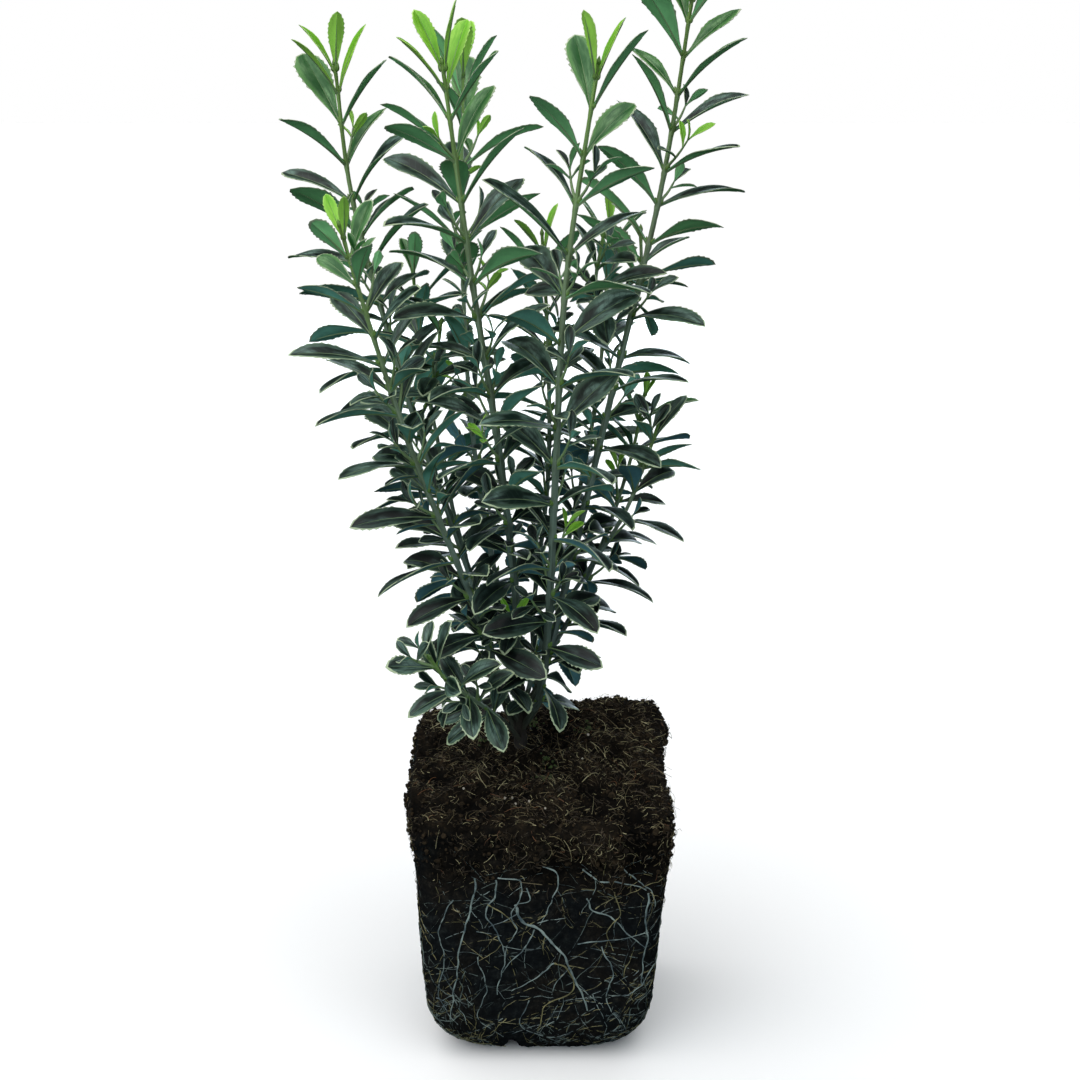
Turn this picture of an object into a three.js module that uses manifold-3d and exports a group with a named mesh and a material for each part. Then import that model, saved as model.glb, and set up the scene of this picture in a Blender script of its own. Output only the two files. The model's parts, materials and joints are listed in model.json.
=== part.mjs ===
import * as THREE from 'three';
import Module from 'manifold-3d';

// A young evergreen spindle with white-edged leaves, standing on its bare square root ball.
// Millimetres, +Z up, the origin in the middle of the ball's flat underside, -Y to the front.

const wasm = await Module();
wasm.setup();

// Clear space left where one piece of the plant meets the next
const GAP = 0.3;

// The root ball, as a nine-centimetre square pot leaves it
const BALL_HEIGHT = 91;
const BALL_TOP_HALF = 43.5;
const BALL_FOOT_HALF = 36;
const BALL_SIDES = 32;
const FOOT_ROUND_HEIGHT = 19;
const FOOT_ROUND_WIDTH = 13;
const RIM_ROUND = 4;
const SQUARENESS_TOP = 9;
const SQUARENESS_FOOT = 4;
const SQUARE_FROM = 24;
const BALL_RINGS = [0, 1.5, 5.5, 11.5, FOOT_ROUND_HEIGHT, 48, 65, 77, 86, BALL_HEIGHT - 1];
const LOOSE_FROM = 45;

// Its loose soil: a low dome that slopes up to the back, crumbled in waves (radians per mm along
// X, Y and Z, and height in mm) that are calm round the woody foot
const SOIL_SLOPE = 0.12;
const SOIL_DOME = 3.4;
const SOIL_RINGS = [0.93, 0.75, 0.5, 0.25];
const CRUMB_WAVES = [[0.31, 0.14, 0, 0.6], [-0.12, 0.27, 0, 0.6], [0.53, -0.47, 0.21, 0.35]];
const CALM_RADIUS = 9;
const CALM_FADE = 8;
const SOCKET_DEPTH = 2;

// The wedges that the feet of the pot pressed into the lower edges
const NOTCH_FOOT = 3;
const NOTCH_HEAD = 1.2;
const NOTCH_HEIGHT = 4;
const NOTCH_INNER_END = 15;
const NOTCH_OFFSET = -9;

// The woody foot that all the stems spring from, and its radius at each share of its length
const TRUNK_FOOT = [-6, 3, BALL_HEIGHT + SOIL_DOME - SOCKET_DEPTH];
const TRUNK_MIDDLE = [-6.4, -1, 106];
const TRUNK_TOP = [-6, -5, 120];
const TRUNK_RADII = [[0, 5.2], [0.14, 4], [0.5, 3.4], [1, 2.5]];

// Stems are square in section, with their flats to the leaves. The rings of a stem lie closer
// near its foot, where it bends.
const STEM_SIDES = 4;
const TRUNK_SIDES = 8;
const FIRST_RING_STEP = 6;
const RING_STEP_GROWTH = 0.2;
const LAST_RING_STEP = 15;
const TIP_RADIUS = 0.9;
const CURVE_STEPS = 48;

// The shoots, in the order in which their leaves take their places. Each starts on its parent's
// axis at a height, runs through a few points, is bare at first and then has a pair of leaves at
// each node; the gap between nodes grows from its first to its second value. The turn is degrees.
const SHOOTS = [
  { name: 'front_right', parent: 'trunk', height: 103, radius: 2.1, bare: 16, gaps: [7.5, 13.5], turn: 42,
    points: [[0, -9, 118], [3, -20, 148], [5, -28, 196], [8, -31, 256], [17, -30, 318]], halves: true },
  { name: 'front_middle', parent: 'trunk', height: 117, radius: 2.1, bare: 12, gaps: [7.5, 11.5], turn: 50,
    points: [[-7, -14, 148], [-12, -23, 201], [-20, -26, 256], [-28, -25, 318]], halves: true },
  { name: 'front_left', parent: 'trunk', height: 106, radius: 1.9, bare: 16, gaps: [6.5, 8.5], turn: 35,
    points: [[-12, -11, 122], [-20, -22, 152], [-39, -31, 206], [-52, -34, 250], [-58, -34, 272]],
    halves: true },
  { name: 'right', parent: 'trunk', height: 109, radius: 2, bare: 15, gaps: [7.5, 12], turn: 40,
    points: [[1, 1, 122], [9, 8, 152], [25, 14, 220], [39, 16, 281], [48, 14, 343]], halves: true },
  { name: 'back_left', parent: 'trunk', height: 101, radius: 2, bare: 17, gaps: [7.5, 11.5], turn: 55,
    points: [[-13, 3, 116], [-22, 10, 151], [-43, 15, 214], [-59, 17, 274], [-64, 17, 318]], halves: true },
  { name: 'low_tuft', parent: 'trunk', height: 99, radius: 1.4, bare: 29, gaps: [6, 7], turn: 30,
    points: [[-11, -14, 111], [-20, -29, 124], [-28, -40, 134], [-33, -47, 144]] },
  { name: 'right_side', parent: 'right', height: 142, radius: 1.3, bare: 14, gaps: [7, 9], turn: 60,
    points: [[16, 8, 156], [28, 10, 175], [35, 11, 193], [39, 10, 206]] },
  { name: 'back_middle', parent: 'front_middle', height: 128, radius: 1.7, bare: 16, gaps: [8, 12], turn: 0,
    points: [[-13, 3, 149], [-22, 17, 201], [-25, 23, 261], [-24, 22, 317]], halves: true },
  { name: 'inner', parent: 'right', height: 118, radius: 1.4, bare: 12, gaps: [8, 10.5], turn: 50,
    points: [[-2, 12, 140], [3, 25, 184], [3, 31, 226], [1, 32, 264]] },
  { name: 'twig_inner', parent: 'right', height: 230, radius: 1.0, bare: 8, gaps: [7, 8], turn: 15,
    points: [[21, 9, 241], [18, 5, 252], [20, 3, 266]] },
  { name: 'twig_outer', parent: 'right', height: 236, radius: 0.95, bare: 9, gaps: [6, 8], turn: 40,
    points: [[33, 21, 249], [33, 24, 266]] },
  { name: 'twig_left', parent: 'back_left', height: 204, radius: 1.0, bare: 7, gaps: [6, 8], turn: 70,
    points: [[-35, 9, 216], [-33, 4, 226], [-31, 2, 239]] },
  { name: 'rear_middle', parent: 'trunk', height: 104, radius: 1.7, bare: 17, gaps: [8, 11], turn: 80,
    points: [[-3, 8, 117], [8, 27, 152], [20, 42, 211], [24, 47, 268]] },
  { name: 'rear_left', parent: 'back_left', height: 122, radius: 1.4, bare: 12, gaps: [8, 11], turn: 25,
    points: [[-19, 16, 137], [-30, 31, 174], [-39, 40, 218], [-43, 43, 256]] },
  { name: 'rear_right', parent: 'rear_middle', height: 120, radius: 1.3, bare: 12, gaps: [7.5, 10], turn: 55,
    points: [[9, 18, 134], [22, 27, 162], [31, 33, 188], [36, 36, 212]] },
];

// Leaves along a shoot, from its lowest pair (0) to its tip (1): what grows there, at each share
const LEAF_LENGTH = [[0, 18], [0.15, 22], [0.4, 27.5], [0.75, 27], [0.9, 22], [1, 12]];
const LEAF_WIDTH = [[0, 0.44], [0.3, 0.35], [0.75, 0.32], [1, 0.4]];
const LEAF_RISE = [[0, 80], [0.3, 66], [0.7, 54], [0.9, 38], [1, 13]];
const LEAF_BEND = [[0, 40], [0.5, 34], [0.85, 26], [1, 14]];
const LEAF_FOLD = 14;
const LEAF_THICKNESS = 0.9;
const SHORT_SHOOT = 90;
const SHORT_LEAVES = 0.86;

// How much single leaves differ: degrees, or a share of their length or width
const RISE_VARIES = 10;
const TURN_VARIES = 12;
const ROLL_VARIES = 34;
const BEND_VARIES = 9;
const FOLD_VARIES = 6;
const LENGTH_VARIES = 0.09;
const WIDTH_VARIES = 0.08;

// The nodes crowd together in the last share of a shoot, and the last one stands short of its tip
const TIP_CROWDING = 0.14;
const TIP_GAP = 3.2;
const TIP_REST = 1.5;
const NODE_VARIES = 0.12;
const NODE_KEY = 90;
const LIMB_END = 3;

// Where a leaf is wide: the share of its half width at each share of its length
const LEAF_SPREAD = [[0, 0.1], [0.1, 0.14], [0.35, 0.76], [0.6, 1], [0.8, 0.9], [1, 0]];
const BLADE_STATIONS = [0.35, 0.77];
const BLADE_CREST = 0.55;

// How far leaves stay from each other, from other stems and from the soil
const LEAF_CLEARANCE = 1.4;
const EDGE_CLEARANCE = 1;
const STEM_CLEARANCE = 1.5;
const SOIL_CLEARANCE = 3;
const BEAD_STEP = 2;
const FAR_APART = 0.6;
const FEELER_SHARES = [0.1, 0.2, 0.32, 0.45, 0.6, 0.75, 0.88, 1];

// What a leaf whose place is taken tries in turn: degrees of rise, degrees round, share of its length
const TRIES = [
  [0, 0, 1],
  [-12, 0, 1],
  [10, 0, 1],
  [0, 20, 1],
  [0, -20, 1],
  [-22, 0, 0.85],
  [-12, 26, 0.78],
  [-12, -26, 0.78],
  [-34, 0, 0.7],
  [0, 40, 0.7],
  [0, -40, 0.7],
  [4, 0, 0.55],
];

const SEED = 6042;

const soilMaterial = new THREE.MeshStandardMaterial({ color: 0x2a1f18, roughness: 0.95, metalness: 0 });
const barkMaterial = new THREE.MeshStandardMaterial({ color: 0x4a3c2c, roughness: 0.85, metalness: 0 });
const stemMaterial = new THREE.MeshStandardMaterial({ color: 0x5c7350, roughness: 0.7, metalness: 0 });
const leafMaterial = new THREE.MeshStandardMaterial({ color: 0x2c4a34, roughness: 0.45, metalness: 0 });

const radians = (degrees) => (degrees * Math.PI) / 180;
const vector = (point) => new THREE.Vector3(...point);

// A number from 0 to 1 that depends on nothing but its keys
function draw(...keys) {
  let h = SEED;
  for (const key of keys) {
    h = Math.imul(h ^ key, 2654435761);
    h ^= h >>> 15;
  }
  h = Math.imul(h, 2246822519);
  h ^= h >>> 13;
  return (h >>> 0) / 4294967296;
}

// The value at share q of a profile of [share, value] pairs
function profile(pairs, q) {
  for (let i = 1; i < pairs.length; i += 1) {
    const [q0, v0] = pairs[i - 1];
    const [q1, v1] = pairs[i];
    if (q <= q1) return v0 + ((v1 - v0) * (q - q0)) / (q1 - q0);
  }
  return pairs[pairs.length - 1][1];
}

// A smooth path through the points, with its length so far at each of its steps
function smoothPath(points) {
  const curve = new THREE.CatmullRomCurve3(points, false, 'catmullrom', 0.5);
  const steps = curve.getPoints(CURVE_STEPS);
  const lengths = [0];
  for (let i = 1; i < steps.length; i += 1) {
    lengths.push(lengths[i - 1] + steps[i].distanceTo(steps[i - 1]));
  }
  return { steps, lengths, length: lengths[lengths.length - 1] };
}

// The point of a path at a distance from its foot, and its direction there
function along(path, distance) {
  let i = 1;
  while (i < path.lengths.length - 1 && path.lengths[i] < distance) i += 1;
  const span = path.lengths[i] - path.lengths[i - 1];
  const share = (distance - path.lengths[i - 1]) / span;
  const direction = path.steps[i].clone().sub(path.steps[i - 1]).normalize();
  return { point: path.steps[i - 1].clone().lerp(path.steps[i], share), direction };
}

// The distance along a path at which it reaches a height
function distanceAtHeight(path, height) {
  let i = 1;
  while (i < path.steps.length - 1 && path.steps[i].z < height) i += 1;
  const share = (height - path.steps[i - 1].z) / (path.steps[i].z - path.steps[i - 1].z);
  return path.lengths[i - 1] + share * (path.lengths[i] - path.lengths[i - 1]);
}

// Two directions square to a stem's direction, the first as near +X as can be
function squareTo(direction) {
  const first = new THREE.Vector3(1, 0, 0);
  first.addScaledVector(direction, -first.dot(direction)).normalize();
  return [first, direction.clone().cross(first)];
}

// A closed solid from points and triangles
function solid(points, triangles) {
  const mesh = new wasm.Mesh({
    numProp: 3,
    vertProperties: Float32Array.from(points.flatMap((p) => [p.x, p.y, p.z])),
    triVerts: Uint32Array.from(triangles.flat()),
  });
  return new wasm.Manifold(mesh);
}

// A solid from rings of as many points each, the first at its foot, closed by a flat fan at each end
function loft(rings) {
  const sides = rings[0].length;
  const points = rings.flat();
  const triangles = [];
  for (let r = 1; r < rings.length; r += 1) {
    for (let i = 0; i < sides; i += 1) {
      const low = (r - 1) * sides;
      const high = r * sides;
      const next = (i + 1) % sides;
      triangles.push([low + i, low + next, high + next], [low + i, high + next, high + i]);
    }
  }
  const last = (rings.length - 1) * sides;
  for (let i = 1; i < sides - 1; i += 1) {
    triangles.push([0, i + 1, i], [last, last + i, last + i + 1]);
  }
  return solid(points, triangles);
}

// The distances of a tube's rings, from one end to the other
function ringDistances(from, to) {
  const distances = [from];
  let step = 0;
  for (let s = from; s < to - step / 2; s += step) {
    if (s > from) distances.push(s);
    step = Math.min(LAST_RING_STEP, FIRST_RING_STEP + RING_STEP_GROWTH * s);
  }
  distances.push(to);
  return distances;
}

// A tapering tube along a path from one distance to another, with a flat facing the turn angle
function tube(path, from, to, radiusAt, sides, turn = 0) {
  const rings = ringDistances(from, to).map((distance) => {
    const { point, direction } = along(path, distance);
    const [first, second] = squareTo(direction);
    const radius = radiusAt(distance);
    return Array.from({ length: sides }, (_, i) => {
      const angle = turn + (2 * Math.PI * (i + 0.5)) / sides;
      const corner = point.clone().addScaledVector(first, radius * Math.cos(angle));
      return corner.addScaledVector(second, radius * Math.sin(angle));
    });
  });
  return loft(rings);
}

// Half the ball's width at a height: straight drafted walls, drawn in round the foot and the rim
function ballHalf(z) {
  const wall = BALL_FOOT_HALF + ((BALL_TOP_HALF - BALL_FOOT_HALF) * z) / BALL_HEIGHT;
  const below = Math.max(0, 1 - z / FOOT_ROUND_HEIGHT);
  const above = Math.max(0, 1 - (BALL_HEIGHT - z) / RIM_ROUND);
  const foot = FOOT_ROUND_WIDTH * (1 - Math.sqrt(1 - below * below));
  return wall - foot - RIM_ROUND * (1 - Math.sqrt(1 - above * above));
}

// The loose soil's relief at a point
function crumble(x, y, z) {
  const away = Math.hypot(x - TRUNK_FOOT[0], y - TRUNK_FOOT[1]);
  const calm = Math.min(1, Math.max(0, (away - CALM_RADIUS) / CALM_FADE));
  let relief = 0;
  for (const [kx, ky, kz, high] of CRUMB_WAVES) relief += high * Math.sin(kx * x + ky * y + kz * z);
  return relief * calm;
}

// The height of the soil without its relief
function soilLevel(x, y) {
  const out = Math.min(1, Math.max(Math.abs(x), Math.abs(y)) / BALL_TOP_HALF);
  return BALL_HEIGHT + SOIL_SLOPE * y + SOIL_DOME * (1 - out * out);
}

function rootBall(trunk) {
  const rings = BALL_RINGS.map((z) => {
    const squareness = SQUARENESS_FOOT + (SQUARENESS_TOP - SQUARENESS_FOOT) * Math.min(1, z / SQUARE_FROM);
    const loose = Math.max(0, (z - LOOSE_FROM) / (BALL_HEIGHT - LOOSE_FROM));
    return ballRing(ballHalf(z), squareness, (x, y) => [
      1 + (loose * crumble(x, y, z)) / BALL_TOP_HALF,
      z + loose * SOIL_SLOPE * y,
    ]);
  });
  const rim = ballHalf(BALL_RINGS[BALL_RINGS.length - 1]);
  for (const share of SOIL_RINGS) {
    const squareness = 2 + (SQUARENESS_TOP - 2) * share ** 3;
    const top = (x, y) => soilLevel(x, y) + crumble(x, y, BALL_HEIGHT);
    rings.push(ballRing(rim * share, squareness, (x, y) => [1, top(x, y)]));
  }
  let ball = loft(rings);
  for (const quarter of [0, 1, 2, 3]) {
    ball = ball.subtract(footNotch((quarter * Math.PI) / 2));
  }
  return ball.subtract(sleeve(trunk, -GAP, trunk.path.length));
}

// A stem's own tube made wider by the gap, with which its neighbours are cut
function sleeve(stem, from, to) {
  const wider = (s) => (stem.radiusAt(Math.max(0, s)) + GAP) / Math.cos(Math.PI / TRUNK_SIDES);
  return tube(stem.path, from, to, wider, TRUNK_SIDES);
}

// One ring of the ball: a rounded square whose points are scaled and lifted by the finish function
function ballRing(half, squareness, finish) {
  const ring = [];
  for (let i = 0; i < BALL_SIDES; i += 1) {
    const angle = (2 * Math.PI * (i + 0.5)) / BALL_SIDES;
    const c = Math.cos(angle);
    const s = Math.sin(angle);
    const reach = half / (Math.abs(c) ** squareness + Math.abs(s) ** squareness) ** (1 / squareness);
    const [scale, z] = finish(reach * c, reach * s);
    ring.push(new THREE.Vector3(reach * c * scale, reach * s * scale, z));
  }
  return ring;
}

// The wedge in the lower edge of the front wall, turned round to another wall
function footNotch(turn) {
  const rings = [NOTCH_INNER_END, BALL_TOP_HALF].map((reach) => {
    const high = (NOTCH_HEIGHT * reach) / BALL_TOP_HALF;
    const outline = [[-NOTCH_FOOT, -GAP], [NOTCH_FOOT, -GAP], [NOTCH_HEAD, high], [-NOTCH_HEAD, high]];
    return outline.map(([across, z]) => {
      const point = new THREE.Vector3(NOTCH_OFFSET + across, -reach, z);
      return point.applyAxisAngle(new THREE.Vector3(0, 0, 1), turn);
    });
  });
  return loft(rings);
}

// The trunk's and the shoots' paths, each shoot from its parent's axis
function layOutStems() {
  const stems = new Map();
  const path = smoothPath([TRUNK_FOOT, TRUNK_MIDDLE, TRUNK_TOP].map(vector));
  stems.set('trunk', { path, radiusAt: (s) => profile(TRUNK_RADII, s / path.length) });
  for (const shoot of SHOOTS) {
    const parent = stems.get(shoot.parent);
    const start = along(parent.path, distanceAtHeight(parent.path, shoot.height)).point;
    const own = smoothPath([start, ...shoot.points.map(vector)]);
    const radiusAt = (s) => shoot.radius + (TIP_RADIUS - shoot.radius) * Math.min(1, s / own.length) ** 2;
    stems.set(shoot.name, { path: own, radiusAt });
  }
  return stems;
}

// The distances along a shoot at which a pair of leaves stands
function nodeDistances(shoot, path, index) {
  const distances = [];
  let s = shoot.bare;
  while (s < path.length - TIP_REST) {
    distances.push(s);
    const q = (s - shoot.bare) / (path.length - shoot.bare);
    const full = shoot.gaps[0] + (shoot.gaps[1] - shoot.gaps[0]) * Math.min(1, 2 * q);
    const near = Math.min(1, Math.max(0, (1 - q) / TIP_CROWDING));
    const gap = TIP_GAP + (full - TIP_GAP) * near;
    s += gap * (1 + NODE_VARIES * (2 * draw(index, distances.length, NODE_KEY) - 1));
  }
  return distances;
}

// The distance half way between the two middle nodes of a shoot, where its two lengths of foliage meet
function betweenNodes(distances) {
  const middle = Math.floor(distances.length / 2);
  return (distances[middle - 1] + distances[middle]) / 2;
}

// A leaf: its root on the stem's axis, the directions along, above and across it, and its measures
function makeLeaf(shoot, index, stem, distance, node, side, attempt) {
  const [lift, turnBy, shrink] = attempt;
  const { point, direction } = along(stem.path, distance);
  const q = (distance - shoot.bare) / (stem.path.length - shoot.bare);
  const vary = (key, span) => span * (2 * draw(index, node, side, key) - 1);
  const rise = radians(profile(LEAF_RISE, q) + vary(1, RISE_VARIES) + lift);
  const turn = radians(shoot.turn + 90 * node + 180 * side + vary(2, TURN_VARIES) + turnBy);
  const roll = radians(vary(3, ROLL_VARIES));
  const size = stem.path.length < SHORT_SHOOT ? SHORT_LEAVES : 1;
  const length = profile(LEAF_LENGTH, q) * size * (1 + vary(4, LENGTH_VARIES)) * shrink;
  const halfWidth = 0.5 * length * profile(LEAF_WIDTH, q) * (1 + vary(5, WIDTH_VARIES));
  const bend = radians(profile(LEAF_BEND, q) + vary(6, BEND_VARIES));
  const fold = Math.tan(radians(LEAF_FOLD + vary(7, FOLD_VARIES)));
  const [first, second] = squareTo(direction);
  const out = first.multiplyScalar(Math.cos(turn)).addScaledVector(second, Math.sin(turn));
  const ahead = direction.clone().multiplyScalar(Math.cos(rise)).addScaledVector(out, Math.sin(rise));
  const upright = direction.clone().multiplyScalar(Math.sin(rise)).addScaledVector(out, -Math.cos(rise));
  const level = upright.clone().cross(ahead);
  const above = upright.clone().multiplyScalar(Math.cos(roll)).addScaledVector(level, Math.sin(roll));
  const across = above.clone().cross(ahead);
  const leaf = { root: point, ahead, above, across, length, halfWidth, bend, fold, shoot: index, node };
  leaf.middle = onLeaf(leaf, 0.5, 0, 0);
  leaf.feelers = [-1, 0, 1].map((edge) => FEELER_SHARES.map(
    (t) => onLeaf(leaf, t, edge * profile(LEAF_SPREAD, t) * leaf.halfWidth, 0),
  ));
  return leaf;
}

// The point of a leaf at a share of its length, so far across it and so far above its face.
// The midrib is an arc that bows outwards, and both halves fold up from it.
function onLeaf(leaf, t, across, above) {
  const radius = leaf.length / leaf.bend;
  const angle = leaf.bend * t;
  const height = above + leaf.fold * Math.abs(across);
  const forward = (radius + height) * Math.sin(angle);
  const upward = (radius + height) * Math.cos(angle) - radius;
  return leaf.root.clone().addScaledVector(leaf.ahead, forward).addScaledVector(leaf.above, upward)
    .addScaledVector(leaf.across, across);
}

// Where a point lies from a leaf: how high above its face, and whether over its outline
function fromLeaf(leaf, point) {
  const radius = leaf.length / leaf.bend;
  const arm = point.clone().sub(leaf.root);
  const forward = arm.dot(leaf.ahead);
  const upward = arm.dot(leaf.above) + radius;
  const across = Math.abs(arm.dot(leaf.across));
  const t = Math.atan2(forward, upward) / leaf.bend;
  const height = Math.hypot(forward, upward) - radius - leaf.fold * across;
  const edge = profile(LEAF_SPREAD, Math.max(0, t)) * leaf.halfWidth + EDGE_CLEARANCE;
  return { height, over: t > 0.05 && t < 1.06 && across < edge };
}

// Whether one leaf's midrib or edges come near or pass through another leaf
function reaches(leaf, other) {
  for (const feeler of leaf.feelers) {
    let last = null;
    for (const point of feeler) {
      const here = fromLeaf(other, point);
      if (here.over && Math.abs(here.height) < LEAF_CLEARANCE) return true;
      if (last && (here.over || last.over) && here.height * last.height < 0) return true;
      last = here;
    }
  }
  return false;
}

// Whether two leaves meet; the two of a pair never do, and those far apart aren't looked at
function leavesMeet(leaf, other) {
  const far = FAR_APART * (leaf.length + other.length);
  if (leaf.middle.distanceTo(other.middle) > far) return false;
  if (leaf.shoot === other.shoot && leaf.node === other.node) return false;
  return reaches(leaf, other) || reaches(other, leaf);
}

// Whether a leaf comes near a stem that isn't its own, or the soil
function leafIsStopped(leaf, beads) {
  for (const feeler of leaf.feelers) {
    for (const point of feeler) {
      const overBall = Math.max(Math.abs(point.x), Math.abs(point.y)) < BALL_TOP_HALF + SOIL_CLEARANCE;
      if (overBall && point.z < soilLevel(point.x, point.y) + SOIL_CLEARANCE) return true;
      for (const bead of beads) {
        const room = bead.radius + STEM_CLEARANCE;
        if (bead.shoot !== leaf.shoot && bead.point.distanceToSquared(point) < room * room) return true;
      }
    }
  }
  return false;
}

// Every leaf of the plant, each in the first of its tries that meets nothing, or left out
function growLeaves(stems) {
  const beads = [];
  const shoots = [{ name: 'trunk' }, ...SHOOTS];
  shoots.forEach((shoot, i) => {
    const { path, radiusAt } = stems.get(shoot.name);
    for (let s = 0; s <= path.length; s += BEAD_STEP) {
      beads.push({ point: along(path, s).point, radius: radiusAt(s), shoot: i - 1 });
    }
  });
  const leaves = [];
  SHOOTS.forEach((shoot, index) => {
    const stem = stems.get(shoot.name);
    nodeDistances(shoot, stem.path, index).forEach((distance, node) => {
      for (const side of [0, 1]) {
        for (const attempt of TRIES) {
          const leaf = makeLeaf(shoot, index, stem, distance, node, side, attempt);
          leaf.distance = distance;
          if (leafIsStopped(leaf, beads) || leaves.some((other) => leavesMeet(leaf, other))) continue;
          leaves.push(leaf);
          break;
        }
      }
    });
  });
  return leaves;
}

// A leaf as a closed blade of nine points: sharp edges, and a crest on each face that starts at the root
function blade(leaf) {
  const half = LEAF_THICKNESS / 2;
  const [low, high] = BLADE_STATIONS;
  const wide = (t) => profile(LEAF_SPREAD, t) * leaf.halfWidth;
  const points = [
    onLeaf(leaf, 0, 0, half),
    onLeaf(leaf, 0, 0, -half),
    onLeaf(leaf, low, wide(low), 0),
    onLeaf(leaf, low, -wide(low), 0),
    onLeaf(leaf, high, wide(high), 0),
    onLeaf(leaf, high, -wide(high), 0),
    onLeaf(leaf, 1, 0, 0),
    onLeaf(leaf, BLADE_CREST, 0, half),
    onLeaf(leaf, BLADE_CREST, 0, -half),
  ];
  const triangles = [
    [0, 7, 2], [0, 3, 7], [2, 7, 4], [3, 5, 7], [4, 7, 6], [5, 6, 7],
    [1, 2, 8], [1, 8, 3], [2, 4, 8], [3, 8, 5], [4, 6, 8], [5, 8, 6],
    [0, 2, 1], [0, 1, 3],
  ];
  return solid(points, triangles);
}

// A named mesh from a closed solid
function meshOf(name, body, material) {
  const mesh = body.getMesh();
  const geometry = new THREE.BufferGeometry();
  geometry.setAttribute('position', new THREE.BufferAttribute(new Float32Array(mesh.vertProperties), 3));
  geometry.setIndex(new THREE.BufferAttribute(new Uint32Array(mesh.triVerts), 1));
  geometry.computeVertexNormals();
  const piece = new THREE.Mesh(geometry, material);
  piece.name = name;
  return piece;
}

// The stretch of a stem between two distances, with the leaves that stand on it, clear of its parent
function stretch(shoot, index, stems, leaves, from, to) {
  const { path, radiusAt } = stems.get(shoot.name);
  let body = tube(path, from, to, radiusAt, STEM_SIDES, radians(shoot.turn));
  for (const leaf of leaves) {
    const own = leaf.shoot === index && leaf.distance > from && leaf.distance < to;
    if (own) body = body.add(blade(leaf));
  }
  if (from > 0) return body;
  const parent = stems.get(shoot.parent);
  return body.subtract(sleeve(parent, 0, parent.path.length + GAP));
}

const plant = new THREE.Group();
plant.name = 'white_edged_spindle_on_root_ball';
const stems = layOutStems();
const trunk = stems.get('trunk');
plant.add(meshOf('root_ball', rootBall(trunk), soilMaterial));
plant.add(meshOf('trunk', tube(trunk.path, 0, trunk.path.length, trunk.radiusAt, TRUNK_SIDES), barkMaterial));

const leaves = growLeaves(stems);
SHOOTS.forEach((shoot, index) => {
  const { path } = stems.get(shoot.name);
  const cuts = [0];
  const bough = shoot.parent === 'trunk';
  if (bough) cuts.push(shoot.bare - LIMB_END);
  if (shoot.halves) cuts.push(betweenNodes(nodeDistances(shoot, path, index)));
  cuts.push(path.length);
  const names = bough ? [`limb_${shoot.name}`] : [];
  const ends = shoot.halves ? ['_low', '_top'] : [''];
  names.push(...ends.map((end) => `foliage_${shoot.name}${end}`));
  names.forEach((name, i) => {
    const from = cuts[i] === 0 ? 0 : cuts[i] + GAP / 2;
    const to = i === names.length - 1 ? cuts[i + 1] : cuts[i + 1] - GAP / 2;
    const material = name.startsWith('limb') ? stemMaterial : leafMaterial;
    plant.add(meshOf(name, stretch(shoot, index, stems, leaves, from, to), material));
  });
});

export default plant;
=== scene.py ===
# %% [markdown]
# # A young white-edged spindle on its root ball
# This lesson dresses the packed solids of a small evergreen shrub, which was lifted out of its square
# pot. The solids already say where everything is: a ball of soil, a woody foot, and fifteen shoots
# with leaves in opposite pairs. Each step swaps some of those plain solids for a finer mesh in the
# same place, so first the packed model is loaded and its box is kept to measure against.

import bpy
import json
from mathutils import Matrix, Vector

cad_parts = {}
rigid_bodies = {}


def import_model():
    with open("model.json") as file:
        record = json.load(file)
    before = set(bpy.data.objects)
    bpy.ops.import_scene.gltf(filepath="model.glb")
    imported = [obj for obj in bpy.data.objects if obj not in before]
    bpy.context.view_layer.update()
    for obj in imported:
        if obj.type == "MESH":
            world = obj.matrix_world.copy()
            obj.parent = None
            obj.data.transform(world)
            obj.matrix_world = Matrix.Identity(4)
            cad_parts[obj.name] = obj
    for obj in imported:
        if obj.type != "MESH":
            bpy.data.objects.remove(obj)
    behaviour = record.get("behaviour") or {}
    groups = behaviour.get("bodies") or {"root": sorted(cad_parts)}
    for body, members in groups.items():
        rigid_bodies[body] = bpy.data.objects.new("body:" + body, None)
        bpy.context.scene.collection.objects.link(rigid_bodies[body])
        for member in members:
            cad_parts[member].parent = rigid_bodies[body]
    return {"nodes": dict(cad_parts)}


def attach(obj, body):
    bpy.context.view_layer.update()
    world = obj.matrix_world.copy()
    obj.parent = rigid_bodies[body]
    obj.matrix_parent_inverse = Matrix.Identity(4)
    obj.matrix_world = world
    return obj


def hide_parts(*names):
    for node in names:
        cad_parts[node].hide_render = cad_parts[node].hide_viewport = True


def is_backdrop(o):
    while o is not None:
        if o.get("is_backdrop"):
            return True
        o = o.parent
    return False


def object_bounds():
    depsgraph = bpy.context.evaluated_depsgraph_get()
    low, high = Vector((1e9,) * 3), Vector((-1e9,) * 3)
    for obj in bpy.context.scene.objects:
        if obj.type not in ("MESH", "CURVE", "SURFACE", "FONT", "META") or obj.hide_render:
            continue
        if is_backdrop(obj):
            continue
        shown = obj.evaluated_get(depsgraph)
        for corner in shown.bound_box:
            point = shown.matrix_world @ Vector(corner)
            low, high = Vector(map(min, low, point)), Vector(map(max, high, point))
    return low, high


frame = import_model()
packed_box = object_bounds()
nodes = sorted(frame["nodes"])
foliage_nodes = [name for name in nodes if name.startswith("foliage_")]
limb_nodes = [name for name in nodes if name.startswith("limb_")]
print("packed:", len(foliage_nodes), "masses of leaves and", len(limb_nodes), "bare lower stems")

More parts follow.
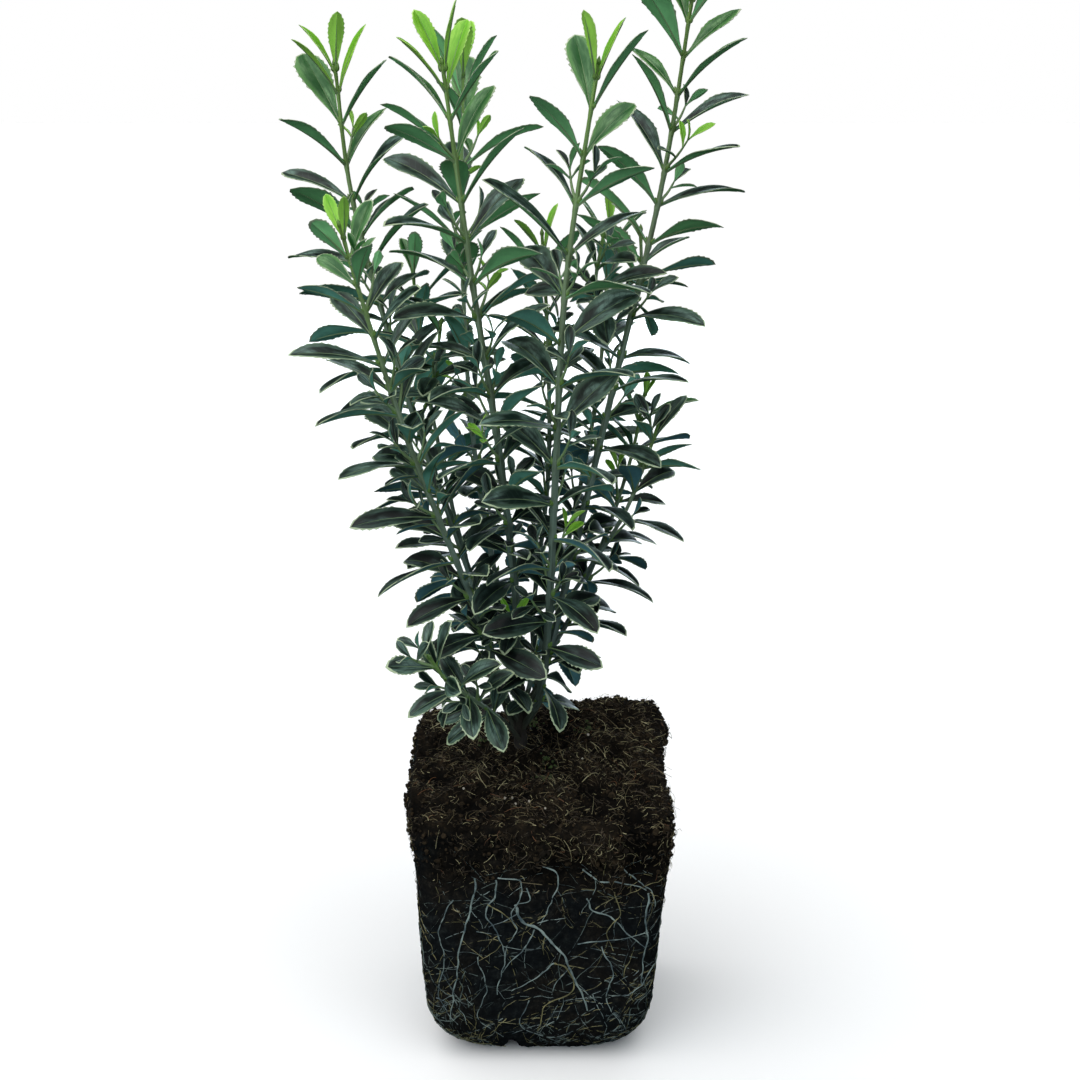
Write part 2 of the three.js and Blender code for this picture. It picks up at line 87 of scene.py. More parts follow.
# %% [markdown]
# ## Camera
# The picture was taken from a little above the plant, close enough for the ball to look clearly
# tapered. A camera could be aimed by eye; here it was fitted to the edges of the square ball, whose
# real size is known, so the same camera also measures the plant.

# %% The camera
import math

import bpy

CAMERA_PLACE = (0.0003, -0.557, 0.315)
CAMERA_TILT_DOWN = 14.7
CAMERA_LENS = 59.0

camera_data = bpy.data.cameras.new("camera")
camera_data.lens = CAMERA_LENS
camera_data.sensor_width = 36.0
camera = bpy.data.objects.new("camera", camera_data)
camera.location = CAMERA_PLACE
camera.rotation_euler = (math.radians(90 - CAMERA_TILT_DOWN), 0, 0)
bpy.context.scene.collection.objects.link(camera)
bpy.context.scene.camera = camera
print("camera:", CAMERA_TILT_DOWN, "degrees down,", CAMERA_LENS, "mm lens")

# %% [markdown]
# ## Seeded chance
# A plant is regular but never exact: each leaf has its own small turn and bend. A random number
# generator would do, but its numbers change as soon as one more is drawn. So chance is a function of
# a few keys (which shoot, which node, which side, which measure), and always says the same.

# %% Chance from keys
import numpy as np

SEED = 6042
LOW_BITS = 0xFFFFFFFF


def draw(*keys):
    """A number from 0 to 1 that depends on nothing but its keys."""
    mixed = SEED
    for key in keys:
        mixed = ((mixed ^ key) * 2654435761) & LOW_BITS
        mixed ^= mixed >> 15
    mixed = (mixed * 2246822519) & LOW_BITS
    mixed ^= mixed >> 13
    return mixed / (LOW_BITS + 1)


def profile(pairs, share):
    """The value at a share of the way along a list of (share, value) pairs."""
    shares, values = zip(*pairs)
    return np.interp(share, shares, values)


print("chance:", [round(draw(1, 2, key), 3) for key in range(3)])

# %% [markdown]
# ## Paths
# A stem is a smooth line through a few points. Blender's own curve objects could hold it, but leaves
# need the exact place and direction at any distance, so the line is worked out here: short cubic
# spans through the points, cut into steps, with the length so far at each step.

# %% Smooth paths
CURVE_STEPS = 48


def smooth_path(points, steps=CURVE_STEPS):
    """The steps of a smooth line through the points, and the length so far at each."""
    points = np.asarray(points, float)
    run = np.vstack([2 * points[0] - points[1], points, 2 * points[-1] - points[-2]])
    spans = len(points) - 1
    at = np.arange(steps + 1) * spans / steps
    first = np.minimum(at.astype(int), spans - 1)
    share = (at - first)[:, None]
    before, start, end, after = (run[first + k] for k in range(4))
    leave = 0.5 * (end - before)
    arrive = 0.5 * (after - start)
    square = -3 * start + 3 * end - 2 * leave - arrive
    cube = 2 * start - 2 * end + leave + arrive
    places = start + leave * share + square * share**2 + cube * share**3
    lengths = np.concatenate([[0], np.cumsum(np.linalg.norm(np.diff(places, axis=0), axis=1))])
    return {"places": places, "lengths": lengths, "length": lengths[-1]}


def along(path, distances):
    """The places on a path at some distances from its foot, and its directions there."""
    places, lengths = path["places"], path["lengths"]
    step = np.clip(np.searchsorted(lengths, distances), 1, len(lengths) - 1)
    share = (distances - lengths[step - 1]) / (lengths[step] - lengths[step - 1])
    arm = places[step] - places[step - 1]
    direction = arm / np.linalg.norm(arm, axis=-1, keepdims=True)
    return places[step - 1] + arm * share[..., None], direction


def distance_at_height(path, height):
    """The distance along a path at which it reaches a height."""
    heights = path["places"][:, 2]
    step = max(1, int(np.argmax(heights >= height)))
    share = (height - heights[step - 1]) / (heights[step] - heights[step - 1])
    return path["lengths"][step - 1] + share * (path["lengths"][step] - path["lengths"][step - 1])


print("path:", round(smooth_path([(0, 0, 0), (0, 0, 10), (3, 0, 20)])["length"], 2), "mm long")

# %% [markdown]
# ## The shoots
# The plant has one woody foot. Five leafy shoots, a low tuft and a guessed rear shoot leave it, and
# more fork off those. The same table of real sizes made the solids, in millimetres: where a shoot
# leaves its parent, the points it runs through, how thick it is, how far it is bare, and how its
# leaf pairs are spaced. Growing from the same values keeps every leaf in the space of its solid.

# %% The table of shoots


def shoot(name, parent, height, radius, bare, gaps, turn, *points):
    """One row of the table of shoots."""
    return {"name": name, "parent": parent, "height": height, "radius": radius, "bare": bare,
            "gaps": gaps, "turn": turn, "points": points}


SHOOTS = [
    shoot("front_right", "trunk", 103, 2.1, 16, (7.5, 13.5), 42,
          (0, -9, 118), (3, -20, 148), (5, -28, 196), (8, -31, 256), (17, -30, 318)),
    shoot("front_middle", "trunk", 117, 2.1, 12, (7.5, 11.5), 50,
          (-7, -14, 148), (-12, -23, 201), (-20, -26, 256), (-28, -25, 318)),
    shoot("front_left", "trunk", 106, 1.9, 16, (6.5, 8.5), 35,
          (-12, -11, 122), (-20, -22, 152), (-39, -31, 206), (-52, -34, 250), (-58, -34, 272)),
    shoot("right", "trunk", 109, 2, 15, (7.5, 12), 40,
          (1, 1, 122), (9, 8, 152), (25, 14, 220), (39, 16, 281), (48, 14, 343)),
    shoot("back_left", "trunk", 101, 2, 17, (7.5, 11.5), 55,
          (-13, 3, 116), (-22, 10, 151), (-43, 15, 214), (-59, 17, 274), (-64, 17, 318)),
    shoot("low_tuft", "trunk", 99, 1.4, 29, (6, 7), 30,
          (-11, -14, 111), (-20, -29, 124), (-28, -40, 134), (-33, -47, 144)),
    shoot("right_side", "right", 142, 1.3, 14, (7, 9), 60,
          (16, 8, 156), (28, 10, 175), (35, 11, 193), (39, 10, 206)),
    shoot("back_middle", "front_middle", 128, 1.7, 16, (8, 12), 0,
          (-13, 3, 149), (-22, 17, 201), (-25, 23, 261), (-24, 22, 317)),
    shoot("inner", "right", 118, 1.4, 12, (8, 10.5), 50,
          (-2, 12, 140), (3, 25, 184), (3, 31, 226), (1, 32, 264)),
    shoot("twig_inner", "right", 230, 1.0, 8, (7, 8), 15,
          (21, 9, 241), (18, 5, 252), (20, 3, 266)),
    shoot("twig_outer", "right", 236, 0.95, 9, (6, 8), 40,
          (33, 21, 249), (33, 24, 266)),
    shoot("twig_left", "back_left", 204, 1.0, 7, (6, 8), 70,
          (-35, 9, 216), (-33, 4, 226), (-31, 2, 239)),
    shoot("rear_middle", "trunk", 104, 1.7, 17, (8, 11), 80,
          (-3, 8, 117), (8, 27, 152), (20, 42, 211), (24, 47, 268)),
    shoot("rear_left", "back_left", 122, 1.4, 12, (8, 11), 25,
          (-19, 16, 137), (-30, 31, 174), (-39, 40, 218), (-43, 43, 256)),
    shoot("rear_right", "rear_middle", 120, 1.3, 12, (7.5, 10), 55,
          (9, 18, 134), (22, 27, 162), (31, 33, 188), (36, 36, 212)),
]
print("shoots:", len(SHOOTS))

# %% [markdown]
# ## Stems from the table
# Each row becomes a smooth path that starts on its parent. A young stem stays nearly even in thickness
# and narrows fast at its tip; the woody foot, wide in the soil, has a profile of its own.

# %% Paths and thicknesses of the stems
TRUNK_POINTS = [(-6, 3, 92.4), (-6.4, -1, 106), (-6, -5, 120)]
TRUNK_RADII = [(0, 5.2), (0.14, 4), (0.5, 3.4), (1, 2.5)]
TIP_RADIUS = 0.9

trunk_path = smooth_path(TRUNK_POINTS)
stems = {"trunk": {"path": trunk_path}}
for row in SHOOTS:
    parent_path = stems[row["parent"]]["path"]
    start, _ = along(parent_path, np.array(distance_at_height(parent_path, row["height"])))
    stems[row["name"]] = {"path": smooth_path([start, *row["points"]]), "row": row}


def stem_radius(name, distances):
    """How thick a stem is at some distances from its foot."""
    length = stems[name]["path"]["length"]
    share = np.clip(np.asarray(distances, float) / length, 0, 1)
    if name == "trunk":
        return profile(TRUNK_RADII, share)
    thick = stems[name]["row"]["radius"]
    return thick + (TIP_RADIUS - thick) * share**2


print("stems:", round(sum(stem["path"]["length"] for stem in stems.values())), "mm in all")

# %% [markdown]
# ## Where the leaf pairs stand
# On a spindle every node carries two leaves, and each pair is turned square to the last. The nodes
# crowd together at the growing tip. Long leaves stand in the middle of a shoot, wide blunt ones low
# down, and short steep ones at the tip. These profiles run from a shoot's lowest pair to its tip.

# %% The leaf rule
LEAF_LENGTH = [(0, 18), (0.15, 22), (0.4, 27.5), (0.75, 27), (0.9, 22), (1, 12)]
LEAF_WIDTH = [(0, 0.44), (0.3, 0.35), (0.75, 0.32), (1, 0.4)]
LEAF_RISE = [(0, 80), (0.3, 66), (0.7, 54), (0.9, 38), (1, 13)]
LEAF_BEND = [(0, 40), (0.5, 34), (0.85, 26), (1, 14)]
LEAF_SPREAD = [(0, 0.1), (0.1, 0.14), (0.35, 0.76), (0.6, 1), (0.8, 0.9), (1, 0)]
LEAF_FOLD = 14
RISE_VARIES, TURN_VARIES, ROLL_VARIES, BEND_VARIES, FOLD_VARIES = 10, 12, 34, 9, 6
LENGTH_VARIES, WIDTH_VARIES = 0.09, 0.08
SHORT_SHOOT, SHORT_LEAVES = 90, 0.86
TIP_CROWDING, TIP_GAP, TIP_REST = 0.14, 3.2, 1.5
NODE_VARIES, NODE_KEY = 0.12, 90


def node_distances(index):
    """The distances along a shoot at which a pair of leaves stands."""
    row = SHOOTS[index]
    length = stems[row["name"]]["path"]["length"]
    distances = []
    distance = row["bare"]
    while distance < length - TIP_REST:
        distances.append(distance)
        age = (distance - row["bare"]) / (length - row["bare"])
        full = row["gaps"][0] + (row["gaps"][1] - row["gaps"][0]) * min(1, 2 * age)
        near = min(1, max(0, (1 - age) / TIP_CROWDING))
        gap = TIP_GAP + (full - TIP_GAP) * near
        chance = draw(index, len(distances), NODE_KEY)
        distance += gap * (1 + NODE_VARIES * (2 * chance - 1))
    return distances


pair_distances = [node_distances(index) for index in range(len(SHOOTS))]
print("pairs of leaves:", sum(len(row) for row in pair_distances))

# %% [markdown]
# ## The shape of one leaf
# A spindle leaf is spoon-shaped and leathery. Its midrib arches over, and the two halves fold up from
# it like an open book. One function bends a flat leaf (how far along, how far across, how far above
# its face) into place, so blade, margin and midrib all follow the same arch.

# %% Bending a flat leaf into place
FEELER_SHARES = np.array([0.1, 0.2, 0.32, 0.45, 0.6, 0.75, 0.88, 1])


def square_to(direction):
    """Two directions square to a stem, the first as near +X as can be."""
    first = np.array([1.0, 0, 0]) - direction[0] * direction
    first /= np.linalg.norm(first)
    return first, np.cross(direction, first)


def on_leaf(leaf, share, across, above):
    """Places on a leaf: shares of its length, millimetres across, millimetres above its face."""
    radius = leaf["length"] / leaf["bend"]
    angle = leaf["bend"] * np.asarray(share, float)
    reach = radius + above + leaf["fold"] * np.abs(across)
    forward = (reach * np.sin(angle))[..., None] * leaf["ahead"]
    upward = (reach * np.cos(angle) - radius)[..., None] * leaf["above"]
    return leaf["root"] + forward + upward + np.asarray(across, float)[..., None] * leaf["across"]


def sized(leaf, length, half_width):
    """A leaf at a size, with its middle and the feelers along its midrib and edges."""
    leaf = leaf | {"length": length, "half_width": half_width}
    leaf["middle"] = on_leaf(leaf, 0.5, 0.0, 0.0)
    spread = profile(LEAF_SPREAD, FEELER_SHARES) * half_width
    leaf["feelers"] = np.stack([on_leaf(leaf, FEELER_SHARES, edge * spread, 0) for edge in (-1, 0, 1)])
    return leaf


print("a leaf is felt along three lines of", len(FEELER_SHARES), "points")

# %% [markdown]
# ## Setting a leaf on its stem
# How a leaf sits is given by three angles: its rise away from the stem, its turn round it, and a roll
# of its own, since no leaf lies quite level. Its measures come from the leaf rule at its share of the
# way up, each varied a little by chance, and an attempt may lift, turn or shrink it.

# %% Setting a leaf


def set_leaf(place, direction, angles, length, half_width, bend, fold):
    """A leaf on a stem: angles are its rise from the stem, its turn round it and its own roll."""
    rise, turn, roll = angles
    first, second = square_to(direction)
    out = first * math.cos(turn) + second * math.sin(turn)
    ahead = direction * math.cos(rise) + out * math.sin(rise)
    upright = direction * math.sin(rise) - out * math.cos(rise)
    above = upright * math.cos(roll) + np.cross(upright, ahead) * math.sin(roll)
    return sized({"root": place, "ahead": ahead, "above": above, "across": np.cross(above, ahead),
                  "bend": bend, "fold": fold}, length, half_width)


def make_leaf(index, distance, node, side, attempt):
    """A leaf's root, its directions along, above and across, and its measures."""
    lift, turn_by, shrink = attempt
    row = SHOOTS[index]
    path = stems[row["name"]]["path"]
    place, direction = along(path, np.array(distance))
    age = (distance - row["bare"]) / (path["length"] - row["bare"])

    def vary(key, span):
        return span * (2 * draw(index, node, side, key) - 1)

    rise = math.radians(profile(LEAF_RISE, age) + vary(1, RISE_VARIES) + lift)
    turn = math.radians(row["turn"] + 90 * node + 180 * side + vary(2, TURN_VARIES) + turn_by)
    roll = math.radians(vary(3, ROLL_VARIES))
    size = SHORT_LEAVES if path["length"] < SHORT_SHOOT else 1
    length = profile(LEAF_LENGTH, age) * size * (1 + vary(4, LENGTH_VARIES)) * shrink
    half_width = 0.5 * length * profile(LEAF_WIDTH, age) * (1 + vary(5, WIDTH_VARIES))
    bend = math.radians(profile(LEAF_BEND, age) + vary(6, BEND_VARIES))
    fold = math.tan(math.radians(LEAF_FOLD + vary(7, FOLD_VARIES)))
    leaf = set_leaf(place, direction, (rise, turn, roll), length, half_width, bend, fold)
    return leaf | {"shoot": index, "node": node, "side": side, "distance": distance, "age": age}


sample_leaf = make_leaf(0, pair_distances[0][8], 8, 0, (0, 0, 1))
print("a leaf:", round(float(sample_leaf["length"]), 1), "mm long")

# %% [markdown]
# ## Room for every leaf
# Real leaves push each other aside, and never pass through one another. Comparing full meshes for
# that would take hours, so a leaf's midrib and edges are followed as three feelers, and each of their
# points is asked how high it lies over the other leaf's arch.

# %% When two leaves meet
LEAF_CLEARANCE, EDGE_CLEARANCE = 1.4, 1
FAR_APART, OVER_FROM, OVER_TO = 0.6, 0.05, 1.06


def reaches(leaf, other):
    """Whether one leaf's feelers come near or pass through another leaf."""
    radius = other["length"] / other["bend"]
    arm = leaf["feelers"] - other["root"]
    forward = arm @ other["ahead"]
    upward = arm @ other["above"] + radius
    across = np.abs(arm @ other["across"])
    share = np.arctan2(forward, upward) / other["bend"]
    height = np.hypot(forward, upward) - radius - other["fold"] * across
    edge = profile(LEAF_SPREAD, np.maximum(0, share)) * other["half_width"] + EDGE_CLEARANCE
    over = (share > OVER_FROM) & (share < OVER_TO) & (across < edge)
    near = over & (np.abs(height) < LEAF_CLEARANCE)
    through = (over[:, 1:] | over[:, :-1]) & (height[:, 1:] * height[:, :-1] < 0)
    return bool(near.any() or through.any())


def leaves_touch(leaf, other):
    """Whether two leaves come near or pass through each other."""
    if np.linalg.norm(leaf["middle"] - other["middle"]) > FAR_APART * (leaf["length"] + other["length"]):
        return False
    return reaches(leaf, other) or reaches(other, leaf)


def leaves_meet(leaf, other):
    """Whether two leaves touch that aren't a pair, since the two of a pair may."""
    paired = leaf["shoot"] == other["shoot"] and leaf["node"] == other["node"]
    return not paired and leaves_touch(leaf, other)


print("leaves are kept", LEAF_CLEARANCE, "mm apart")

# %% [markdown]
# ## Clear of stems and soil
# Stems are felt as balls strung along them, and the soil as a low dome. Each leaf is tried in its own
# place first and then in a few others, and takes the first that meets nothing. One with no such place
# is left out, as a crowded plant drops a leaf.

# %% Growing every leaf
STEM_CLEARANCE, SOIL_CLEARANCE, BEAD_STEP, BARE_SHARE = 1.5, 3, 2, 0.58
BALL_HEIGHT, BALL_TOP_HALF, SOIL_SLOPE, SOIL_DOME = 91, 43.5, 0.12, 3.4
TRIES = [(0, 0, 1), (-12, 0, 1), (10, 0, 1), (0, 20, 1), (0, -20, 1), (-22, 0, 0.85), (-12, 26, 0.78),
         (-12, -26, 0.78), (-34, 0, 0.7), (0, 40, 0.7), (0, -40, 0.7), (4, 0, 0.55)]


def soil_level(x, y):
    """The height of the soil without its relief: a low dome that slopes up to the back."""
    out = np.minimum(1, np.maximum(np.abs(x), np.abs(y)) / BALL_TOP_HALF)
    return BALL_HEIGHT + SOIL_SLOPE * y + SOIL_DOME * (1 - out * out)


def stem_beads():
    """Balls strung along all the stems: places, radii and the stem that each belongs to."""
    places, radii, owners = [], [], []
    for owner, name in enumerate(stems):
        path = stems[name]["path"]
        distances = np.arange(0, path["length"] + 1e-9, BEAD_STEP)
        places.append(along(path, distances)[0])
        radii.append(stem_radius(name, distances))
        owners.append(np.full(len(distances), owner - 1))
    return np.concatenate(places), np.concatenate(radii), np.concatenate(owners)


bead_places, bead_radii, bead_owners = stem_beads()


def leaf_is_stopped(leaf):
    """Whether a leaf comes near a stem that isn't its own, or the soil."""
    points = leaf["feelers"].reshape(-1, 3)
    over_ball = np.abs(points[:, :2]).max(axis=1) < BALL_TOP_HALF + SOIL_CLEARANCE
    if (over_ball & (points[:, 2] < soil_level(points[:, 0], points[:, 1]) + SOIL_CLEARANCE)).any():
        return True
    others = bead_owners != leaf["shoot"]
    gaps = np.linalg.norm(points[:, None] - bead_places[others], axis=2)
    return bool((gaps < bead_radii[others] + STEM_CLEARANCE).any())


def grow_leaves():
    """Every leaf, each in the first of its tries that meets nothing, or left out."""
    grown = []
    for index, distances in enumerate(pair_distances):
        for node, distance in enumerate(distances):
            for side in (0, 1):
                for attempt in TRIES:
                    leaf = make_leaf(index, distance, node, side, attempt)
                    if leaf_is_stopped(leaf) or any(leaves_meet(leaf, other) for other in grown):
                        continue
                    grown.append(leaf)
                    break
    return grown


leaves = grow_leaves()
print("leaves:", len(leaves), "of", 2 * sum(len(row) for row in pair_distances))

# %% [markdown]
# ## Growing into the room that is left
# The solids stop every leaf a little short, so that none of them meet. The real leaves of the tall
# shoots are longer and slimmer, and fill the air between the stems. One scale for all would push the
# crowded ones through each other, so each leaf is tried at a few larger sizes, and keeps the largest
# one at which it still meets nothing.

# %% Larger leaves
GROWTH = [(0, 1.0), (0.3, 1.1), (0.55, 1.24), (0.8, 1.28), (1, 1.18)]
LOW_GROWTH = 1.04
GROWTH_TRIES = (1, 0.67, 0.33, 0)
WIDER, TALL_FROM = 0.3, 300


def is_tall(leaf):
    """Whether a leaf stands on one of the tall shoots."""
    return SHOOTS[leaf["shoot"]]["points"][-1][2] > TALL_FROM


grown_on = 0
for k, leaf in enumerate(leaves):
    full = float(profile(GROWTH, leaf["age"])) if is_tall(leaf) else LOW_GROWTH
    for part in GROWTH_TRIES:
        growth = 1 + part * (full - 1)
        larger = sized(leaf, leaf["length"] * growth, leaf["half_width"] * growth**WIDER)
        if not leaf_is_stopped(larger) and not any(leaves_meet(larger, other) for other in leaves):
            leaves[k] = larger
            grown_on += part > 0
            break
print("leaves that grew on:", grown_on)

# %% [markdown]
# ## Small side shoots
# In the angles of many leaves a side shoot has begun: a finger's nail of stem with two or three pairs
# of small leaves. The solids leave them out, being so small, but they fill the plant as the real one
# is filled. They are made of the same leaf, shorter and slimmer.

# %% One side shoot
SIDE_LENGTH, SIDE_STEPS, SIDE_FOOT, SIDE_BOW, SIDE_SPREAD = (6, 12), 12, 1.2, 0.6, (0.45, 0.95)
SIDE_PAIRS, SIDE_LEAVES, SIDE_SHRINK, SIDE_SLIM = [(0.45, 62), (0.75, 45), (1.0, 22)], (8, 13.5), 0.12, 0.19
SIDE_BEND, SIDE_FOLD = math.radians(26), 0.3
SIDE_TURN_VARIES, SIDE_RISE_VARIES, SIDE_ROLL_VARIES = 15, 8, 0.4
SIDE_KEY = 200


def leaf_angle(leaf):
    """The direction of the stem at a leaf, and the direction out of it towards the leaf."""
    path = stems[SHOOTS[leaf["shoot"]]["name"]]["path"]
    _, direction = along(path, np.array(leaf["distance"]))
    out = leaf["ahead"] - direction * (leaf["ahead"] @ direction)
    return direction, out / np.linalg.norm(out)


def side_shoot(leaf):
    """A side shoot in the angle of a leaf: its path and its small leaves."""
    keys = (leaf["shoot"], leaf["node"], leaf["side"])

    def pick(key, low, high):
        return low + (high - low) * draw(*keys, SIDE_KEY + key)

    def vary(key, span):
        return pick(key, -span, span)

    direction, out = leaf_angle(leaf)
    aim = direction + pick(0, *SIDE_SPREAD) * out
    aim /= np.linalg.norm(aim)
    foot = leaf["root"] + SIDE_FOOT * direction
    tip = foot + aim * pick(1, *SIDE_LENGTH) + direction
    path = smooth_path([foot, (foot + tip) / 2 + SIDE_BOW * out, tip], SIDE_STEPS)
    small = []
    for pair, (share, rise) in enumerate(SIDE_PAIRS):
        place, heading = along(path, np.array(share * path["length"]))
        for side in (0, 1):
            which = 2 * pair + side
            length = pick(10 + which, *SIDE_LEAVES) * (1 - SIDE_SHRINK * pair)
            turn = 90 * pair + 180 * side + vary(20 + which, SIDE_TURN_VARIES) + 360 * pick(2, 0, 1)
            rises = math.radians(rise + vary(30 + side, SIDE_RISE_VARIES))
            angles = (rises, math.radians(turn), vary(40 + which, SIDE_ROLL_VARIES))
            young = set_leaf(place, heading, angles, length, SIDE_SLIM * length, SIDE_BEND, SIDE_FOLD)
            small.append(young | {"shoot": leaf["shoot"], "node": -1, "side": side, "pair": pair,
                                  "age": leaf["age"], "angle_of": keys})
    return path, small


print("a side shoot:", round(float(side_shoot(leaves[20])[0]["length"]), 1), "mm long")

# %% [markdown]
# ## Room for side shoots
# Each leaf of a side shoot is tried alone, and the shoot stays if enough of them fit. They may come
# closer to a stem than full leaves, because young leaves do nestle there.

# %% Side shoots in the leaf angles
SIDE_SHARE, SIDE_FROM, SIDE_TO, FEWEST_LEAVES = 0.58, 0.04, 0.93, 3
SIDE_CLEARANCE, SIDE_STEM_CLEARANCE = 2, 0.5


def has_room(leaf, others):
    """Whether a small leaf is clear of the soil, of other leaves and of stems that aren't its own."""
    points = leaf["feelers"].reshape(-1, 3)
    if (points[:, 2] < soil_level(points[:, 0], points[:, 1]) + SIDE_CLEARANCE).any():
        return False
    outer = leaf["feelers"][:, 2:].reshape(-1, 3)
    gaps = np.linalg.norm(outer[:, None] - bead_places, axis=2)
    if (gaps < BARE_SHARE * bead_radii + SIDE_STEM_CLEARANCE).any():
        return False
    return not any(leaves_touch(leaf, other) for other in others)


def wants_side_shoot(leaf):
    """Whether a side shoot has begun in the angle of a leaf."""
    lot = draw(leaf["shoot"], leaf["node"], leaf["side"], SIDE_KEY - 1)
    return lot < SIDE_SHARE and SIDE_FROM < leaf["age"] < SIDE_TO


side_paths, small_leaves = [], []
for leaf in filter(wants_side_shoot, leaves):
    path, small = side_shoot(leaf)
    fitting = [young for young in small if has_room(young, leaves + small_leaves)]
    if len(fitting) >= FEWEST_LEAVES:
        side_paths.append(path)
        small_leaves += fitting
print("side shoots:", len(side_paths), "with", len(small_leaves), "small leaves")

# %% [markdown]
# ## Tubes
# Stems, midribs, fibres, roots and even the ball of soil are tubes: rings of points joined by quads,
# with a fan of triangles over each end. One function makes the faces for all of them, so that each
# kind only has to say where its rings lie.

# %% The faces of a tube


def tube_faces(rings, sides):
    """The quads along a tube, and the triangles that close its ends."""
    ring = np.arange(rings - 1)[:, None] * sides
    corner = np.arange(sides)[None, :]
    after = (corner + 1) % sides
    quads = np.stack([ring + corner, ring + after, ring + sides + after, ring + sides + corner], axis=-1)
    fan = np.arange(1, sides - 1)
    foot = np.stack([np.zeros_like(fan), fan + 1, fan], axis=-1)
    tip = np.stack([np.zeros_like(fan), fan, fan + 1], axis=-1) + (rings - 1) * sides
    return quads.reshape(-1, 4), np.concatenate([foot, tip])


print("a box as a tube:", [len(faces) for faces in tube_faces(2, 4)], "quads and triangles")

# %% [markdown]
# ## Many small bodies, few meshes
# A plant has thousands of small parts, and one object for each would be slow and awkward to export.
# So bodies of one kind are gathered in a pile and become one mesh. Each is closed, and its points also
# carry a place on a pattern, so that streaks can follow a leaf and bark a stem. A finished piece rides
# on the plant's one body, takes a slot of finish, and may replace solids, which are then hidden.

# %% Gathering bodies
MM = 0.001
SHARP = math.radians(48)


class Pile:
    """Closed bodies of one kind, in millimetres, on their way to becoming one mesh."""

    def __init__(self):
        self.points, self.quads, self.triangles, self.pattern = [], [], [], []
        self.count = 0

    def add(self, points, quads=(), triangles=(), pattern=None):
        """Adds a body; pattern holds two numbers for each of its points."""
        self.points.append(points)
        self.quads.append(np.reshape(quads, (-1, 4)).astype(int) + self.count)
        self.triangles.append(np.reshape(triangles, (-1, 3)).astype(int) + self.count)
        self.pattern.append(np.zeros((len(points), 2)) if pattern is None else pattern)
        self.count += len(points)

    def tube(self, rings, pattern=None):
        """Adds a closed tube through rings of points."""
        flat = None if pattern is None else pattern.reshape(-1, 2)
        self.add(rings.reshape(-1, 3), *tube_faces(*rings.shape[:2]), flat)

    def build(self, name, material, slot, *solids, sharp=SHARP):
        """The pile as a piece with its finish and the solids it replaces, smooth except at sharp edges; slot
        is not used.
        """
        quads, triangles = np.concatenate(self.quads), np.concatenate(self.triangles)
        corners = np.concatenate([quads.ravel(), triangles.ravel()])
        sizes = np.concatenate([np.full(len(quads), 4), np.full(len(triangles), 3)])
        mesh = bpy.data.meshes.new(name)
        mesh.vertices.add(self.count)
        mesh.vertices.foreach_set("co", (np.concatenate(self.points) * MM).ravel())
        mesh.loops.add(len(corners))
        mesh.loops.foreach_set("vertex_index", corners)
        mesh.polygons.add(len(sizes))
        mesh.polygons.foreach_set("loop_start", np.cumsum(sizes) - sizes)
        pattern = mesh.uv_layers.new(name="pattern")
        pattern.data.foreach_set("uv", np.concatenate(self.pattern)[corners].ravel())
        mesh.update(calc_edges=True)
        mesh.set_sharp_from_angle(angle=sharp)
        mesh.materials.append(material)
        piece = bpy.data.objects.new(name, mesh)
        bpy.context.scene.collection.objects.link(piece)
        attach(piece, "root")
        if solids:
            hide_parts(*solids)
        print(f"{name}: {2 * len(quads) + len(triangles)} triangles")


print("sharp edges: above", round(math.degrees(SHARP)), "degrees")

# %% [markdown]
# ## The flat outline of a leaf
# The blade is widest past its middle, blunt at the tip, and has shallow rounded teeth on its outer
# half. A picture on a rectangle could fake this, but a leaf cut to its own outline stays true from
# every side. The cream edge is a band whose inner line wanders, so both lines are worked out here.

# %% Outline and cream edge
POINTED = [(0, 0.09), (0.08, 0.12), (0.2, 0.38), (0.35, 0.74), (0.48, 0.95), (0.58, 1), (0.72, 0.88),
           (0.84, 0.62), (0.93, 0.34), (1, 0)]
BLUNT = [(0, 0.09), (0.08, 0.11), (0.2, 0.26), (0.35, 0.55), (0.5, 0.83), (0.66, 1), (0.8, 0.94),
         (0.9, 0.68), (0.96, 0.42), (1, 0)]
BLUNTNESS = [(0, 0.55), (0.2, 0.35), (0.55, 0.35), (0.95, 1)]
SHANK_STATIONS = [0, 0.06, 0.12, 0.2, 0.29, 0.38]
TEETH, TEETH_FROM, TOOTH_PITCH, TOOTH_LENGTH, TOOTH_DEPTH = 7, 0.46, 0.072, 0.046, 0.065
EDGE_FROM, EDGE_FULL, EDGE_TIP = 0.12, 0.3, 0.8
HALF_VARIES, EDGE_VARIES, TOOTH_VARIES, SMALL_BLUNT = (0.94, 1.05), (0.25, 1.75), (0.4, 1.6), 0.7

notches = TEETH_FROM + TOOTH_PITCH * np.arange(TEETH)
STATIONS = np.concatenate([SHANK_STATIONS, np.stack([notches, notches + TOOTH_LENGTH], axis=1).ravel(), [1]])
TOOTH = np.concatenate([np.zeros(len(SHANK_STATIONS)), np.tile([-1, 1], TEETH), [0]])
SMALL_STATIONS = np.array([0, 0.14, 0.32, 0.48, 0.62, 0.76, 0.9, 1])
SMALL_TOOTH = np.array([0, 0, 0, 1, -1, 1, -1, 0])


def outline(leaf, share):
    """How wide a leaf is at a share of its length, where 1 is its widest."""
    return (1 - leaf["blunt"]) * profile(POINTED, share) + leaf["blunt"] * profile(BLUNT, share)


